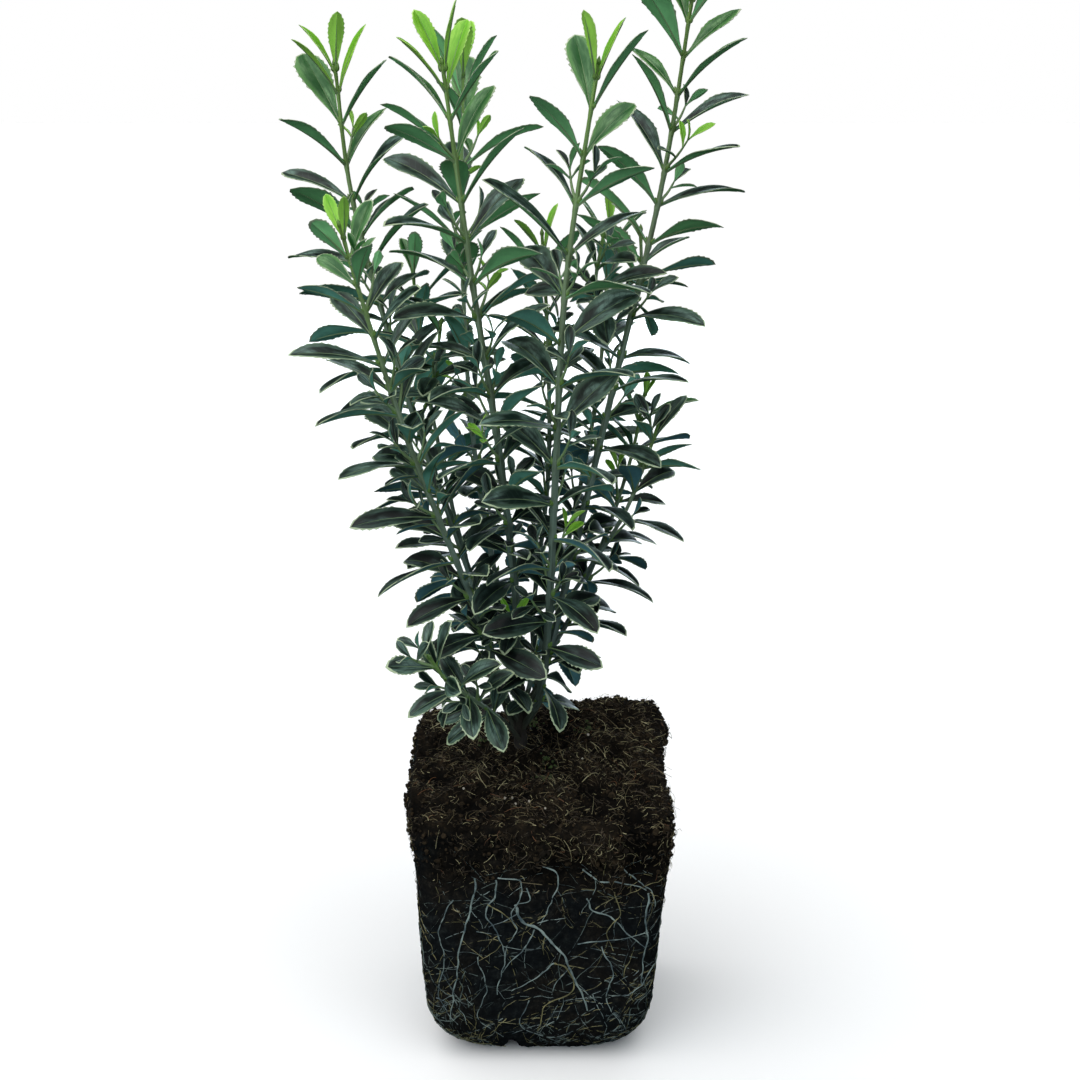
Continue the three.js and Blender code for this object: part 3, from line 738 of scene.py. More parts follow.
def one_side(leaf, chance, cream):
    """The rim and the inner line of the cream edge on one side: (across, along) in millimetres."""
    stations, tooth = leaf["stations"], leaf["tooth"]
    length, half = leaf["length"], leaf["half_width"] * chance.uniform(*HALF_VARIES)
    rim = np.stack([half * outline(leaf, stations), length * stations], axis=1)
    travel = np.gradient(rim, axis=0)
    travel /= np.linalg.norm(travel, axis=1, keepdims=True)
    inward = np.stack([-travel[:, 1], travel[:, 0]], axis=1)
    inward[-1] = (0, -1)
    grown = np.clip((stations - EDGE_FROM) / (EDGE_FULL - EDGE_FROM), 0, 1)
    grown *= 1 + np.clip((stations - EDGE_TIP) / (1 - EDGE_TIP), 0, 1)
    wavering = chance.uniform(*EDGE_VARIES, len(stations))
    wavering = (wavering + np.roll(wavering, 1)) / 2
    inner = rim + inward * (cream * grown * wavering)[:, None]
    rim[:, 0] *= 1 + TOOTH_DEPTH * tooth * chance.uniform(*TOOTH_VARIES, len(stations))
    return rim, inner


for leaf in leaves:
    leaf["stations"], leaf["tooth"] = STATIONS, TOOTH
    leaf["blunt"] = float(profile(BLUNTNESS, leaf["age"]))
for leaf in small_leaves:
    leaf["stations"], leaf["tooth"], leaf["blunt"] = SMALL_STATIONS, SMALL_TOOTH, SMALL_BLUNT
print("outline:", len(STATIONS), "stations on each side of a leaf,", len(SMALL_STATIONS), "on a small one")

# %% [markdown]
# ## The body of a leaf
# A leaf has a waxy green face, a dull paler back, a cream edge and a raised midrib. One painted sheet
# would be lighter, but have no thickness. So face and back are two thin closed slabs that lie on each
# other: five points across, a row for each station of the outline, and one point at the tip.

# %% The faces of a slab
COLUMNS = 5


def slab_faces(rows):
    """The faces of a closed slab with rows of points and one point at its tip."""
    under = rows * COLUMNS + 1
    quads, triangles = [], []
    for row in range(rows - 1):
        a, b = row * COLUMNS, (row + 1) * COLUMNS
        for c in range(COLUMNS - 1):
            quads.append((a + c, a + c + 1, b + c + 1, b + c))
            quads.append((under + b + c, under + b + c + 1, under + a + c + 1, under + a + c))
        quads.append((a, b, under + b, under + a))
        quads.append((under + a + COLUMNS - 1, under + b + COLUMNS - 1, b + COLUMNS - 1, a + COLUMNS - 1))
    for c in range(COLUMNS - 1):
        quads.append((c, under + c, under + c + 1, c + 1))
    last, tip = (rows - 1) * COLUMNS, rows * COLUMNS
    for c in range(COLUMNS - 1):
        triangles.append((last + c, last + c + 1, tip))
        triangles.append((under + last + c + 1, under + last + c, under + tip))
    quads.append((last, tip, under + tip, under + last))
    quads.append((under + last + COLUMNS - 1, under + tip, tip, last + COLUMNS - 1))
    return np.array(quads), np.array(triangles)


SLABS = {len(stations): slab_faces(len(stations) - 1) for stations in (STATIONS, SMALL_STATIONS)}
print("one slab:", {rows: 2 * len(quads) + len(tips) for rows, (quads, tips) in SLABS.items()}, "triangles")

# %% [markdown]
# ## Puff, wave and twist
# No leaf is flat between its midrib and its edge. Each half puffs up a little, the rim waves, and the
# whole blade twists a few degrees, which gives the long soft highlights of real foliage. A few sines
# over the flat leaf do it, and every part of the leaf follows them.

# %% The blade's own relief
PUFF, WAVE, WAVES, NARROW = 0.11, 0.07, 9, 0.12


def lift(leaf, across, forward):
    """How far the blade puffs, waves and twists above its fold at places on the flat leaf."""
    share = forward / leaf["length"]
    width = leaf["half_width"] * np.maximum(NARROW, outline(leaf, share))
    out = np.clip(np.abs(across) / width, 0, 1)
    puff = PUFF * width * np.sin(np.pi * out)
    wave = WAVE * width * out**2 * np.sin(WAVES * share + leaf["phase"] + np.sign(across))
    return puff + wave + leaf["twist"] * share * across


def bent(leaf, flat, above):
    """Places of a flat leaf, (across, along), raised by above and bent onto the plant."""
    raised = above + lift(leaf, flat[..., 0], flat[..., 1])
    return on_leaf(leaf, flat[..., 1] / leaf["length"], -flat[..., 0], raised)


print("puff:", PUFF, "of the half width")

# %% [markdown]
# ## Slabs, band and rod
# The edge is a flat band that closes the two slabs, and the midrib is a slim rod that starts as the
# leaf stalk. A slab's pattern counts shares of the blade's own width across, 0 on the midrib and the
# same at any leaf's edge, so that a finish can find both, and millimetres along. A shift sets each
# leaf at a place of its own on it.

# %% Face, back, edge and midrib
SLAB_THICKNESS, EDGE_THICKNESS, SEAM = 0.14, 0.05, 0.01
PATTERN_HALF, NARROWEST, SHORT_OF_TIP = 4, 0.2, 0.2
RIB_SHARES = np.array([0, 0.06, 0.13, 0.22, 0.33, 0.45, 0.57, 0.69, 0.8, 0.9])
RIB_WIDTH = [(0, 0.62), (0.13, 0.46), (0.3, 0.32), (0.9, 0.08)]
RIB_RISE = [(0, 0.42), (0.13, 0.34), (0.9, 0.25)]
RIB_DROP = [(0, 0.62), (0.13, 0.55), (0.5, 0.42), (0.9, 0.24)]
FULL_RIB = 18


def add_slab(pile, leaf, inner, low, high, shift):
    """A face or a back: a slab from low to high above the middle of the leaf."""
    left, right = inner[0][:-1] * (-1, 1), inner[1][:-1]
    tip = np.array([0, min(inner[0][-1, 1], inner[1][-1, 1])])
    middle = np.stack([np.zeros(len(left)), leaf["stations"][:-1] * leaf["length"]], axis=1)
    middle[:, 1] = np.minimum(middle[:, 1], tip[1] - SHORT_OF_TIP)
    rows = np.stack([left, (left + middle) / 2, middle, (right + middle) / 2, right], axis=1)
    flat = np.concatenate([rows.reshape(-1, 2), [tip]])
    points = np.concatenate([bent(leaf, flat, high), bent(leaf, flat, low)])
    width = leaf["half_width"] * outline(leaf, flat[:, 1] / leaf["length"])
    out = np.clip(flat[:, 0] / np.maximum(width, NARROWEST), -1, 1)
    pattern = np.stack([PATTERN_HALF * out, flat[:, 1]], axis=1)
    pile.add(points, *SLABS[len(left) + 1], np.tile(pattern, (2, 1)) + shift)


def add_band(pile, leaf, rim, inner, shift):
    """The cream edge, from one side of the stalk round the tip to the other."""
    first = int(np.argmax(leaf["stations"] > EDGE_FROM))
    sides = [[line[first:] * (sign, 1) for line in (inner[k], rim[k])] for k, sign in ((0, -1), (1, 1))]
    inside, outside = (np.concatenate([sides[0][i], sides[1][i][-2::-1]]) for i in (0, 1))
    inside[len(sides[0][0]) - 1] = (0, min(inner[0][-1, 1], inner[1][-1, 1]))
    thick, thin = SLAB_THICKNESS + SEAM, EDGE_THICKNESS
    rings = [bent(leaf, inside, -thick), bent(leaf, outside, -thin),
             bent(leaf, outside, thin), bent(leaf, inside, thick)]
    pile.tube(np.stack(rings, axis=1), np.repeat(outside, 4, axis=0) + shift)


def add_rib(pile, leaf, shift):
    """The midrib, which starts as the stalk."""
    width, rise, drop = (profile(pairs, RIB_SHARES) for pairs in (RIB_WIDTH, RIB_RISE, RIB_DROP))
    zero = np.zeros(len(RIB_SHARES))
    slim = min(1, leaf["length"] / FULL_RIB)
    corners = [(zero, rise * slim), (-width * slim, zero), (zero, -drop * slim), (width * slim, zero)]
    rings = [on_leaf(leaf, RIB_SHARES, across, above) for across, above in corners]
    flat = np.stack([zero, RIB_SHARES * leaf["length"]], axis=1)
    pile.tube(np.stack(rings, axis=1), np.repeat(flat, 4, axis=0) + shift)


print("a midrib:", len(RIB_SHARES), "rings of four points")

# %% [markdown]
# ## Which leaf has which colour
# Old leaves are a dark, dull green. Their tone, given to the leaves low on the plant, is darker and
# bluer still, which is painted shade of the plant over them. Full-grown ones are a little warmer, the
# upper ones fresher, and the newest pair at each tip is a bright yellow-green with no cream yet, as are
# the tips of a few side shoots. A pattern can't know a leaf's age, so the leaves are dealt out by age
# and height to four tones.

# %% The tone of a leaf
TONES = ("old", "grown", "fresh", "new")
BOLD_EDGED = ("low_tuft",)
GROWN_FROM, HEIGHT_VARIES = 190, 14
FRESH_AGE, LOW_FRESH_AGE, NEW_AGE = 0.82, 0.88, 0.95
BRIGHT_TIPS = 0.2


def tone_of(leaf, chance):
    """The tone of a leaf, from its share of the way up its shoot."""
    name = SHOOTS[leaf["shoot"]]["name"]
    height = leaf["middle"][2] + chance.uniform(-HEIGHT_VARIES, HEIGHT_VARIES)
    if name in BOLD_EDGED:
        return "grown"
    if leaf.get("pair", 0) > 0 and draw(*leaf["angle_of"], SIDE_KEY - 2) < BRIGHT_TIPS * leaf["age"]:
        return "new"
    if "pair" not in leaf and leaf["age"] > NEW_AGE:
        return "new"
    if leaf["age"] > (FRESH_AGE if is_tall(leaf) else LOW_FRESH_AGE):
        return "fresh"
    # Low leaves take the oldest tone: partly their own age colour, partly painted shade, darker and bluish.
    return "grown" if height > GROWN_FROM else "old"


print("tones:", TONES)

# %% [markdown]
# ## Last sizes, and the leaves as bodies
# The young leaves at the tall tips are still folded upright and reach far, the upper ones of the short
# shoots are slim, and the tuft at the foot has a rosette of even, narrow leaves with a broad cream
# edge. Those sizes are set leaf by leaf, and then each leaf's four bodies go to their piles. The
# backs of the upper full-grown leaves go with the fresh ones, because light shines on them there.

# %% Laying out every leaf
PALE_BACKS_FROM, BOLD_AGE = 255, 0.12
TIP_GROWTH, TIP_FROM, SLIMMER, NEW_WIDTH = 0.34, 0.86, 0.22, 0.74
TUFT_LENGTH, TUFT_VARIES, TUFT_WIDTH, TWIST, FULL_PHASE = 17.5, (0.88, 1.12), 0.2, 0.3, 6
EDGE_WIDTH, BOLD_EDGE_WIDTH, YOUNG_EDGE_WIDTH = 0.23, 0.28, 0.15
EDGES_VARY, FULL_EDGE = (0.75, 1.3), 16
PATTERN_STEP, PATTERN_SHIFTS = 100, 30


def final_size(leaf, tone, chance):
    """Sets the length and half width that a leaf has in the end."""
    if "pair" not in leaf:
        if is_tall(leaf):
            size = 1 + TIP_GROWTH * np.clip((leaf["age"] - TIP_FROM) / (1 - TIP_FROM), 0, 1)
            leaf["length"] *= size
            leaf["half_width"] *= size
        else:
            leaf["half_width"] *= 1 - SLIMMER * np.clip(2 * leaf["age"] - 1, 0, 1)
        if SHOOTS[leaf["shoot"]]["name"] in BOLD_EDGED:
            leaf["length"] = TUFT_LENGTH * chance.uniform(*TUFT_VARIES)
            leaf["half_width"] = TUFT_WIDTH * leaf["length"]
    if tone == "new":
        leaf["half_width"] *= NEW_WIDTH


def edge_width(leaf, tone, chance):
    """How wide the cream edge of a leaf is."""
    bold = SHOOTS[leaf["shoot"]]["name"] in BOLD_EDGED or leaf["age"] < BOLD_AGE
    width = YOUNG_EDGE_WIDTH if tone == "new" else BOLD_EDGE_WIDTH if bold else EDGE_WIDTH
    return width * (chance.uniform(*EDGES_VARY) * min(1, leaf["length"] / FULL_EDGE))


faces = {tone: Pile() for tone in TONES}
backs = {tone: Pile() for tone in TONES}
edges = {"cream": Pile(), "young": Pile()}
ribs = Pile()
tally = dict.fromkeys(TONES, 0)
for count, leaf in enumerate(leaves + small_leaves):
    chance = np.random.default_rng([SEED, count])
    tone = tone_of(leaf, chance)
    tally[tone] += 1
    final_size(leaf, tone, chance)
    leaf["phase"], leaf["twist"] = chance.uniform(0, FULL_PHASE), chance.uniform(-TWIST, TWIST)
    cream = edge_width(leaf, tone, chance)
    rim, inner = zip(*(one_side(leaf, chance, cream) for _ in (0, 1)))
    shift = PATTERN_STEP * chance.integers(0, PATTERN_SHIFTS, 2)
    add_slab(faces[tone], leaf, inner, SEAM, SLAB_THICKNESS, shift)
    lit = tone == "grown" and leaf["middle"][2] > PALE_BACKS_FROM
    add_slab(backs["fresh" if lit else tone], leaf, inner, -SLAB_THICKNESS, -SEAM, shift)
    add_band(edges["young" if tone == "new" else "cream"], leaf, rim, inner, shift)
    add_rib(ribs, leaf, shift)
print("leaves by tone:", tally)

# %% [markdown]
# ## Finishes
# Each finish is a small node tree on Blender's Principled shader. Colours are kept as screen values,
# the way one reads them off a photo. Light adds up, so one helper turns them into true amounts of it.

# %% Screen colours as light


def linear(red, green, blue):
    """A screen colour, 0 to 255, as Blender's linear colour."""
    values = [channel / 255 for channel in (red, green, blue)]
    return (*(v / 12.92 if v <= 0.04045 else ((v + 0.055) / 1.055) ** 2.4 for v in values), 1)


print("cream on screen", (205, 212, 176), "is", [round(v, 3) for v in linear(205, 212, 176)[:3]], "in light")

# %% [markdown]
# ## A helper for node trees
# Nodes could be wired by hand in the editor, but this helper names the few moves that all finishes
# share: a pattern to read, noise over it, a ramp, a mix and fine relief. Streaks and speckles are
# noise, so there are no image files to carry.

# %% The parts of a finish


class Finish:
    """A material under construction: its nodes, with the shader's plain values set on its sockets."""

    def __init__(self, name, **sockets):
        self.material = bpy.data.materials.new(name)
        self.material.use_nodes = True
        self.tree = self.material.node_tree
        self.shader = self.tree.nodes["Principled BSDF"]
        for socket, value in sockets.items():
            self.shader.inputs[socket.replace("_", " ")].default_value = value

    def node(self, kind, links=(), **settings):
        """A node of a kind, with settings on it and (input, value or output) links into it."""
        made = self.tree.nodes.new("ShaderNode" + kind)
        for name, value in settings.items():
            setattr(made, name, value)
        for name, source in links:
            self.feed(made.inputs[name], source)
        return made

    def feed(self, socket, source):
        """Links an output to a socket, or sets the socket's value."""
        if isinstance(source, bpy.types.NodeSocket):
            self.tree.links.new(source, socket)
        else:
            socket.default_value = source

    def pattern(self):
        """The place on the mesh's own pattern."""
        return self.node("UVMap", uv_map="pattern").outputs["UV"]

    def split(self, where):
        """The numbers across and along that a place is made of."""
        parts = self.node("SeparateXYZ", [("Vector", where)]).outputs
        return parts["X"], parts["Y"]

    def math(self, operation, *values):
        """The result of a sum on some values or outputs."""
        return self.node("Math", enumerate(values), operation=operation).outputs[0]

    def noise(self, where, scale, stretch=(1, 1, 1), detail=4, rough=0.6):
        """A noise pattern over some coordinates, stretched along each axis."""
        mapping = self.node("Mapping", [("Vector", where), ("Scale", stretch)])
        links = [("Vector", mapping.outputs[0]), ("Scale", scale), ("Detail", detail), ("Roughness", rough)]
        return self.node("TexNoise", links).outputs["Fac"]

    def ramp(self, value, *stops):
        """Colours, or greys, dealt out over a value by (place, colour) stops."""
        made = self.node("ValToRGB", [("Fac", value)])
        elements = made.color_ramp.elements
        while len(elements) < len(stops):
            elements.new(0.5)
        for element, (place, colour) in zip(elements, stops):
            element.position = place
            element.color = colour if isinstance(colour, tuple) else (colour, colour, colour, 1)
        return made.outputs["Color"]

    def shades(self, value, stops):
        """Screen colours dealt out over a value by (place, colour) stops."""
        return self.ramp(value, *((place, linear(*shade)) for place, shade in stops))

    def mix(self, share, first, second, blend="MIX"):
        """Two colours mixed by a share."""
        made = self.node("Mix", data_type="RGBA", blend_type=blend)
        self.feed(made.inputs[0], share)
        self.feed(made.inputs[6], first)
        self.feed(made.inputs[7], second)
        return made.outputs[2]

    def relief(self, height, strength, distance):
        """Fine relief on the surface, from a height pattern; distance in metres."""
        links = [("Height", height), ("Strength", strength), ("Distance", distance)]
        self.feed(self.shader.inputs["Normal"], self.node("Bump", links).outputs["Normal"])

    def colour(self, source):
        """Gives the finish its base colour."""
        self.feed(self.shader.inputs["Base Color"], source)


print("moves of a finish:", [move for move in vars(Finish) if not move.startswith("_")])

# %% [markdown]
# ## Lines on a leaf
# Fine side veins leave the midrib at a slant, and just inside the cream edge the green is paler. Both
# follow the blade, so they are worked out from its pattern: folding the pattern back every half step
# undoes the shift and gives the way from the midrib, and a slanted count of that and of the way
# along, cut to its fraction, gives evenly spaced veins. A wobble keeps them from looking ruled.

# %% Veins by the leaf's pattern
VEIN_GAP, VEIN_SLANT, VEIN_DEPTH, VEIN_HALF = 2.4, 1.1, 0.55, 0.13


def from_midrib(finish, where):
    """How far a place lies from the midrib, 0 on it and PATTERN_HALF at the edge, and how far up."""
    across, up = finish.split(where)
    return finish.math("PINGPONG", across, PATTERN_STEP / 2), up


def side_veins(finish, where, out, up):
    """Thin lines that leave the midrib at a slant: 1 on a vein, 0 between two."""
    slanted = finish.math("MULTIPLY_ADD", out, -VEIN_SLANT, up)
    wobble = finish.noise(where, 1.0, (0.5, 0.3, 1), detail=2)
    between = finish.math("FRACT", finish.math("MULTIPLY_ADD", slanted, 1 / VEIN_GAP, wobble))
    stops = ((0.0, VEIN_DEPTH), (VEIN_HALF, 0.0), (1 - VEIN_HALF, 0.0), (1.0, VEIN_DEPTH))
    return finish.ramp(between, *stops)


print("side veins: one every", VEIN_GAP, "mm along the midrib")

# %% [markdown]
# ## The waxy face
# The face of a spindle leaf is waxy: dark green straight on, with silvery streaks along the blade
# where the wax catches the light. The streaks are noise laid along each leaf's own pattern, long down
# the blade and narrow across it. In gloss they are real, and in colour they are a painted sheen, a
# painted highlight. Along the veins the painted sheen is weaker, and towards the cream edge it gives
# way to the pale zone.

# %% Leaf faces
# The second colour of each tone is the painted sheen: a painted highlight for the light the wax reflects.
LEAF_COLOURS = {
    # The oldest tone is darker and bluer partly as painted shade of the low, inner plant.
    "old": {"face": (5, 14, 12), "wax": (66, 88, 80), "back": (94, 146, 154), "zone": (60, 82, 68)},
    "grown": {"face": (9, 26, 19), "wax": (106, 134, 122), "back": (112, 176, 154), "zone": (80, 108, 87)},
    "fresh": {"face": (36, 90, 40), "wax": (112, 152, 102), "back": (128, 196, 130), "zone": (96, 150, 78)},
    "new": {"face": (108, 178, 40), "wax": (158, 212, 78), "back": (158, 216, 84), "zone": (150, 208, 74)},
}
ZONE_FROM, ZONE_FULL, ZONE_SHARE = 0.62, 1.0, 0.75
SHEEN_ON_VEINS = (0.12, 0.12, 0.12, 1)
WAX_GLOSS = {"Coat_Weight": 0.06, "Coat_Roughness": 0.3, "Specular_IOR_Level": 0.28}


def leaf_face(tone):
    """The waxy upper face of a leaf, with a painted sheen in its base colour."""
    green, sheen_colour, pale = (linear(*LEAF_COLOURS[tone][part]) for part in ("face", "wax", "zone"))
    finish = Finish(f"leaf_face_{tone}", **WAX_GLOSS)
    where = finish.pattern()
    streaks = finish.noise(where, 1.0, (1.1, 0.13, 1), detail=5)
    blotches = finish.noise(where, 1.0, (0.22, 0.08, 1), detail=2)
    # Mask of the painted sheen: long streaks times broad patches, weaker along the veins.
    lines = finish.ramp(streaks, (0.38, 0.1), (0.6, 1.0))
    sheen_patches = finish.ramp(blotches, (0.43, 0.0), (0.62, 1.0))
    wax = finish.mix(1.0, lines, sheen_patches, "MULTIPLY")
    out, up = from_midrib(finish, where)
    wax = finish.mix(side_veins(finish, where, out, up), wax, SHEEN_ON_VEINS)
    ragged = finish.ramp(streaks, (0.3, -0.25), (0.7, 0.2))
    outward = finish.math("MULTIPLY_ADD", out, 1 / PATTERN_HALF, ragged)
    zone = finish.ramp(outward, (ZONE_FROM, 0.0), (ZONE_FULL, ZONE_SHARE))
    # The painted highlight colour is mixed into the base colour here.
    finish.colour(finish.mix(zone, finish.mix(wax, green, sheen_colour), pale))
    finish.feed(finish.shader.inputs["Roughness"], finish.ramp(streaks, (0.3, 0.34), (0.7, 0.56)))
    finish.relief(streaks, 0.35, 0.0002)
    return finish.material


for tone, pile in faces.items():
    pile.build(f"leaf_faces_{tone}", leaf_face(tone), "foliage", *foliage_nodes)

# %% [markdown]
# ## Backs, cream edges and midribs
# The back of the leaf has no wax: it is smooth, matt, paler and more teal. The cream edge is a narrow
# band with no green in it, a little greener on the newest leaves, and the midrib is a pale green line.
# All are plain colours with a trace of soft noise, because their shapes already carry the drawing.

# %% Backs, edges and midribs
PALE_CLOUDS = 1.35
SMALL_GREENS = {"cream_edge": ((122, 146, 112), (196, 208, 170)), "midrib": ((92, 120, 82), (132, 156, 108)),
                "young_edge": ((150, 204, 84), (192, 226, 122)), "bud": ((84, 118, 58), (120, 156, 74))}


def leaf_back(tone):
    """The smooth matt back of a leaf."""
    finish = Finish(f"leaf_back_{tone}", Roughness=0.55)
    clouds = finish.noise(finish.pattern(), 1.0, (0.35, 0.12, 1), detail=3)
    base = linear(*LEAF_COLOURS[tone]["back"])
    pale = tuple(min(1, PALE_CLOUDS * value) for value in base[:3]) + (1,)
    finish.colour(finish.mix(finish.ramp(clouds, (0.35, 0.0), (0.7, 1.0)), base, pale))
    finish.relief(clouds, 0.2, 0.0002)
    return finish.material


def plain_green(name):
    """Two close greens mixed by a fine noise."""
    finish = Finish(name, Roughness=0.5)
    speckle = finish.noise(finish.pattern(), 1.0, (0.5, 0.25, 1))
    finish.colour(finish.mix(speckle, *(linear(*shade) for shade in SMALL_GREENS[name])))
    return finish.material


for tone, pile in backs.items():
    pile.build(f"leaf_backs_{tone}", leaf_back(tone), "foliage", *foliage_nodes)
for tone, pile in edges.items():
    pile.build(f"leaf_edges_{tone}", plain_green(f"{tone}_edge"), "foliage")
ribs.build("leaf_midribs", plain_green("midrib"), "foliage")

# %% [markdown]
# ## Stems
# Spindle stems are nearly square, with a rounded ridge at each corner, and swell a little at every
# node. A bevelled curve would give a round wire, so rings are placed along each path instead, and
# the radius of every point on a ring is worked out.

# %% Green stems
STEM_SIDES, STEM_STEP = 16, 1.3
RIDGE, NODE_SWELL, NODE_REACH = 0.11, 0.24, 1.3
STEM_UNEVEN, UNEVEN_UP, UNEVEN_ROUND = 0.03, 1.7, 3
LIMB_END, OVERLAP, PAST_TIP = 3, 0.6, 0.5
SIDE_RADIUS, SIDE_RINGS, SIDE_TAPER, SIDE_PATTERN = 0.55, 7, 0.45, (0.5, 0.8)


def stem_rings(path, distances, sides, turn, reach_of):
    """Rings of points along a path; reach_of(distance, angles) says how far out each point lies."""
    places, directions = along(path, distances)
    angles = 2 * np.pi * np.arange(sides) / sides + turn
    rings = []
    for place, direction, distance in zip(places, directions, distances):
        first, second = square_to(direction)
        reach = reach_of(distance, angles)[:, None]
        ring = place + reach * (np.cos(angles)[:, None] * first + np.sin(angles)[:, None] * second)
        rings.append(ring)
    return np.stack(rings)


def ridged(index, distance, angles):
    """How far out the points of a green stem lie at a distance from its foot."""
    row = SHOOTS[index]
    swell = sum(math.exp(-(((distance - node) / NODE_REACH) ** 2)) for node in pair_distances[index])
    corners = 1 - RIDGE * (1 + np.cos(4 * (angles - math.radians(row["turn"]))))
    uneven = 1 + STEM_UNEVEN * np.sin(distance * UNEVEN_UP + UNEVEN_ROUND * angles)
    return BARE_SHARE * stem_radius(row["name"], distance) * corners * (1 + NODE_SWELL * swell) * uneven


green_stems = Pile()
for index, row in enumerate(SHOOTS):
    path = stems[row["name"]]["path"]
    length = path["length"]
    start = row["bare"] - LIMB_END - OVERLAP if row["parent"] == "trunk" else 0
    distances = np.linspace(start, length + PAST_TIP, int((length - start) / STEM_STEP))
    turn = math.radians(row["turn"])
    rings = stem_rings(path, distances, STEM_SIDES, turn, lambda d, a: ridged(index, d, a))
    pattern = np.stack(np.meshgrid(np.arange(STEM_SIDES) / STEM_SIDES, distances / length), axis=-1)
    green_stems.tube(rings, pattern)


def tapered(path, distance, angles):
    """How far out the points of a side shoot's stem lie."""
    return np.full(len(angles), SIDE_RADIUS * (1 - SIDE_TAPER * distance / path["length"]))


for path in side_paths:
    distances, sides = np.linspace(0, path["length"], SIDE_RINGS), STEM_SIDES // 2
    rings = stem_rings(path, distances, sides, 0, lambda d, a: tapered(path, d, a))
    green_stems.tube(rings, np.tile(SIDE_PATTERN, (SIDE_RINGS * sides, 1)))
print("green stems:", len(SHOOTS), "long ones and", len(side_paths), "short ones")

# %% [markdown]
# A stem ages from its tip down, from yellow-green to grey-green, with fine lines along it. The colour
# runs over the second number of the stem's own pattern, which is the share of the way up.

# %% Stem material
STEM_COLOURS = [(0.0, (92, 108, 98)), (0.35, (116, 138, 124)), (0.7, (134, 156, 120)),
                (0.95, (128, 166, 86))]

finish = Finish("green_stem", Roughness=0.5)
where = finish.pattern()
_, share = finish.split(where)
lines = finish.noise(where, 1.0, (7.0, 5.0, 1))
light = finish.ramp(lines, (0.3, 0.62), (0.7, 1.0))
finish.colour(finish.mix(1.0, finish.shades(share, STEM_COLOURS), light, "MULTIPLY"))
finish.relief(lines, 0.3, 0.0002)
green_stems.build("green_stems", finish.material, "green_stem")

# %% [markdown]
# ## Buds
# In the angle between leaf and stem sits a small pointed bud, and a pair of scales closes each tip.
# They are only a millimetre or two long, but they break up the bare corner where a leaf meets its
# stem. Each is a short tube whose radius follows a bud's outline.

# %% Buds in the leaf angles
BUD_OUTLINE = [(0, 0.35), (0.25, 0.62), (0.55, 0.5), (0.85, 0.2), (1, 0.04)]
BUD_SIDES, BUD_LEAN, BUD_INSIDE = 6, 0.45, 0.9
BUD_SHARES = np.array([0, 0.2, 0.45, 0.75, 1])
BUD_LENGTH, BUD_VARIES, TIP_BUD, BUD_LIFT, BUD_KEY = 1.5, 1.3, 2.6, 0.9, 91
BUD_PATTERN = (3, 9)


def add_bud(pile, place, direction, length):
    """A pointed bud at a place, growing in a direction."""
    first, second = square_to(direction)
    angles = 2 * np.pi * np.arange(BUD_SIDES) / BUD_SIDES
    ring = np.cos(angles)[:, None] * first + np.sin(angles)[:, None] * second
    radii = 0.5 * length * profile(BUD_OUTLINE, BUD_SHARES)
    points = place + (BUD_SHARES * length)[:, None, None] * direction + radii[:, None, None] * ring
    pattern = np.repeat(BUD_SHARES, BUD_SIDES)[:, None] * BUD_PATTERN
    pile.tube(points, pattern)


buds = Pile()
for leaf in leaves:
    direction, out = leaf_angle(leaf)
    name = SHOOTS[leaf["shoot"]]["name"]
    reach = BUD_INSIDE * BARE_SHARE * float(stem_radius(name, leaf["distance"]))
    aim = direction + BUD_LEAN * out
    length = BUD_LENGTH + BUD_VARIES * draw(leaf["shoot"], leaf["node"], leaf["side"], BUD_KEY)
    foot = leaf["root"] + out * reach + direction * BUD_LIFT
    add_bud(buds, foot, aim / np.linalg.norm(aim), length)
for index, row in enumerate(SHOOTS):
    path = stems[row["name"]]["path"]
    place, direction = along(path, np.array(path["length"]))
    add_bud(buds, place, direction, TIP_BUD)
buds.build("buds", plain_green("bud"), "foliage")

# %% [markdown]
# ## The woody foot and the bare lower stems
# Bark on so young a shrub is thin: fine furrows run up the foot, which flares into a few ribs where
# roots begin, and fade out along the bare stems. The relief is real geometry, a finely divided tube
# with each point moved in or out, because a bump texture would leave the outline smooth.

# %% Bark with real relief
from mathutils import Vector, noise

BARK_SIDES, BARK_STEP, FURROW_DEPTH = 28, 0.5, 0.2
FLARE_RIBS, FLARE_HEIGHT, FLARE_DEPTH = 5, 8, 1.0
COLLAR_REACH, COLLAR_SWELL = 5, 0.2
FURROW_END, LEAST_FURROW, TRUNK_SEED = 22, 0.25, 99
FURROWS_ROUND, FURROWS_UP, FURROW_SCALE, SEED_STEP = 2.2, 0.16, 1.6, 40


def furrows(angle, distance, seed):
    """Fine furrows up a stem, from -1 to 1."""
    up = FURROWS_UP * distance + SEED_STEP * seed
    spot = Vector((FURROWS_ROUND * math.cos(angle), FURROWS_ROUND * math.sin(angle), up))
    return noise.fractal(spot * FURROW_SCALE, 0.7, 2.1, 4)


def barked(name, seed, distance, angles):
    """How far out the points of a woody stem lie at a distance from its foot."""
    if name == "trunk":
        reach = np.full(len(angles), BARE_SHARE * float(stem_radius(name, distance)))
        flare = max(0, 1 - distance / FLARE_HEIGHT) ** 2
        reach += FLARE_DEPTH * flare * np.maximum(0, np.cos(FLARE_RIBS * angles + 2 * np.sin(angles)))
        fade = 1.0
    else:
        reach = ridged(seed, distance, angles)
        reach *= 1 + COLLAR_SWELL * math.exp(-((distance / COLLAR_REACH) ** 2))
        fade = max(LEAST_FURROW, 1 - distance / FURROW_END)
    return reach + FURROW_DEPTH * fade * np.array([furrows(angle, distance, seed) for angle in angles])


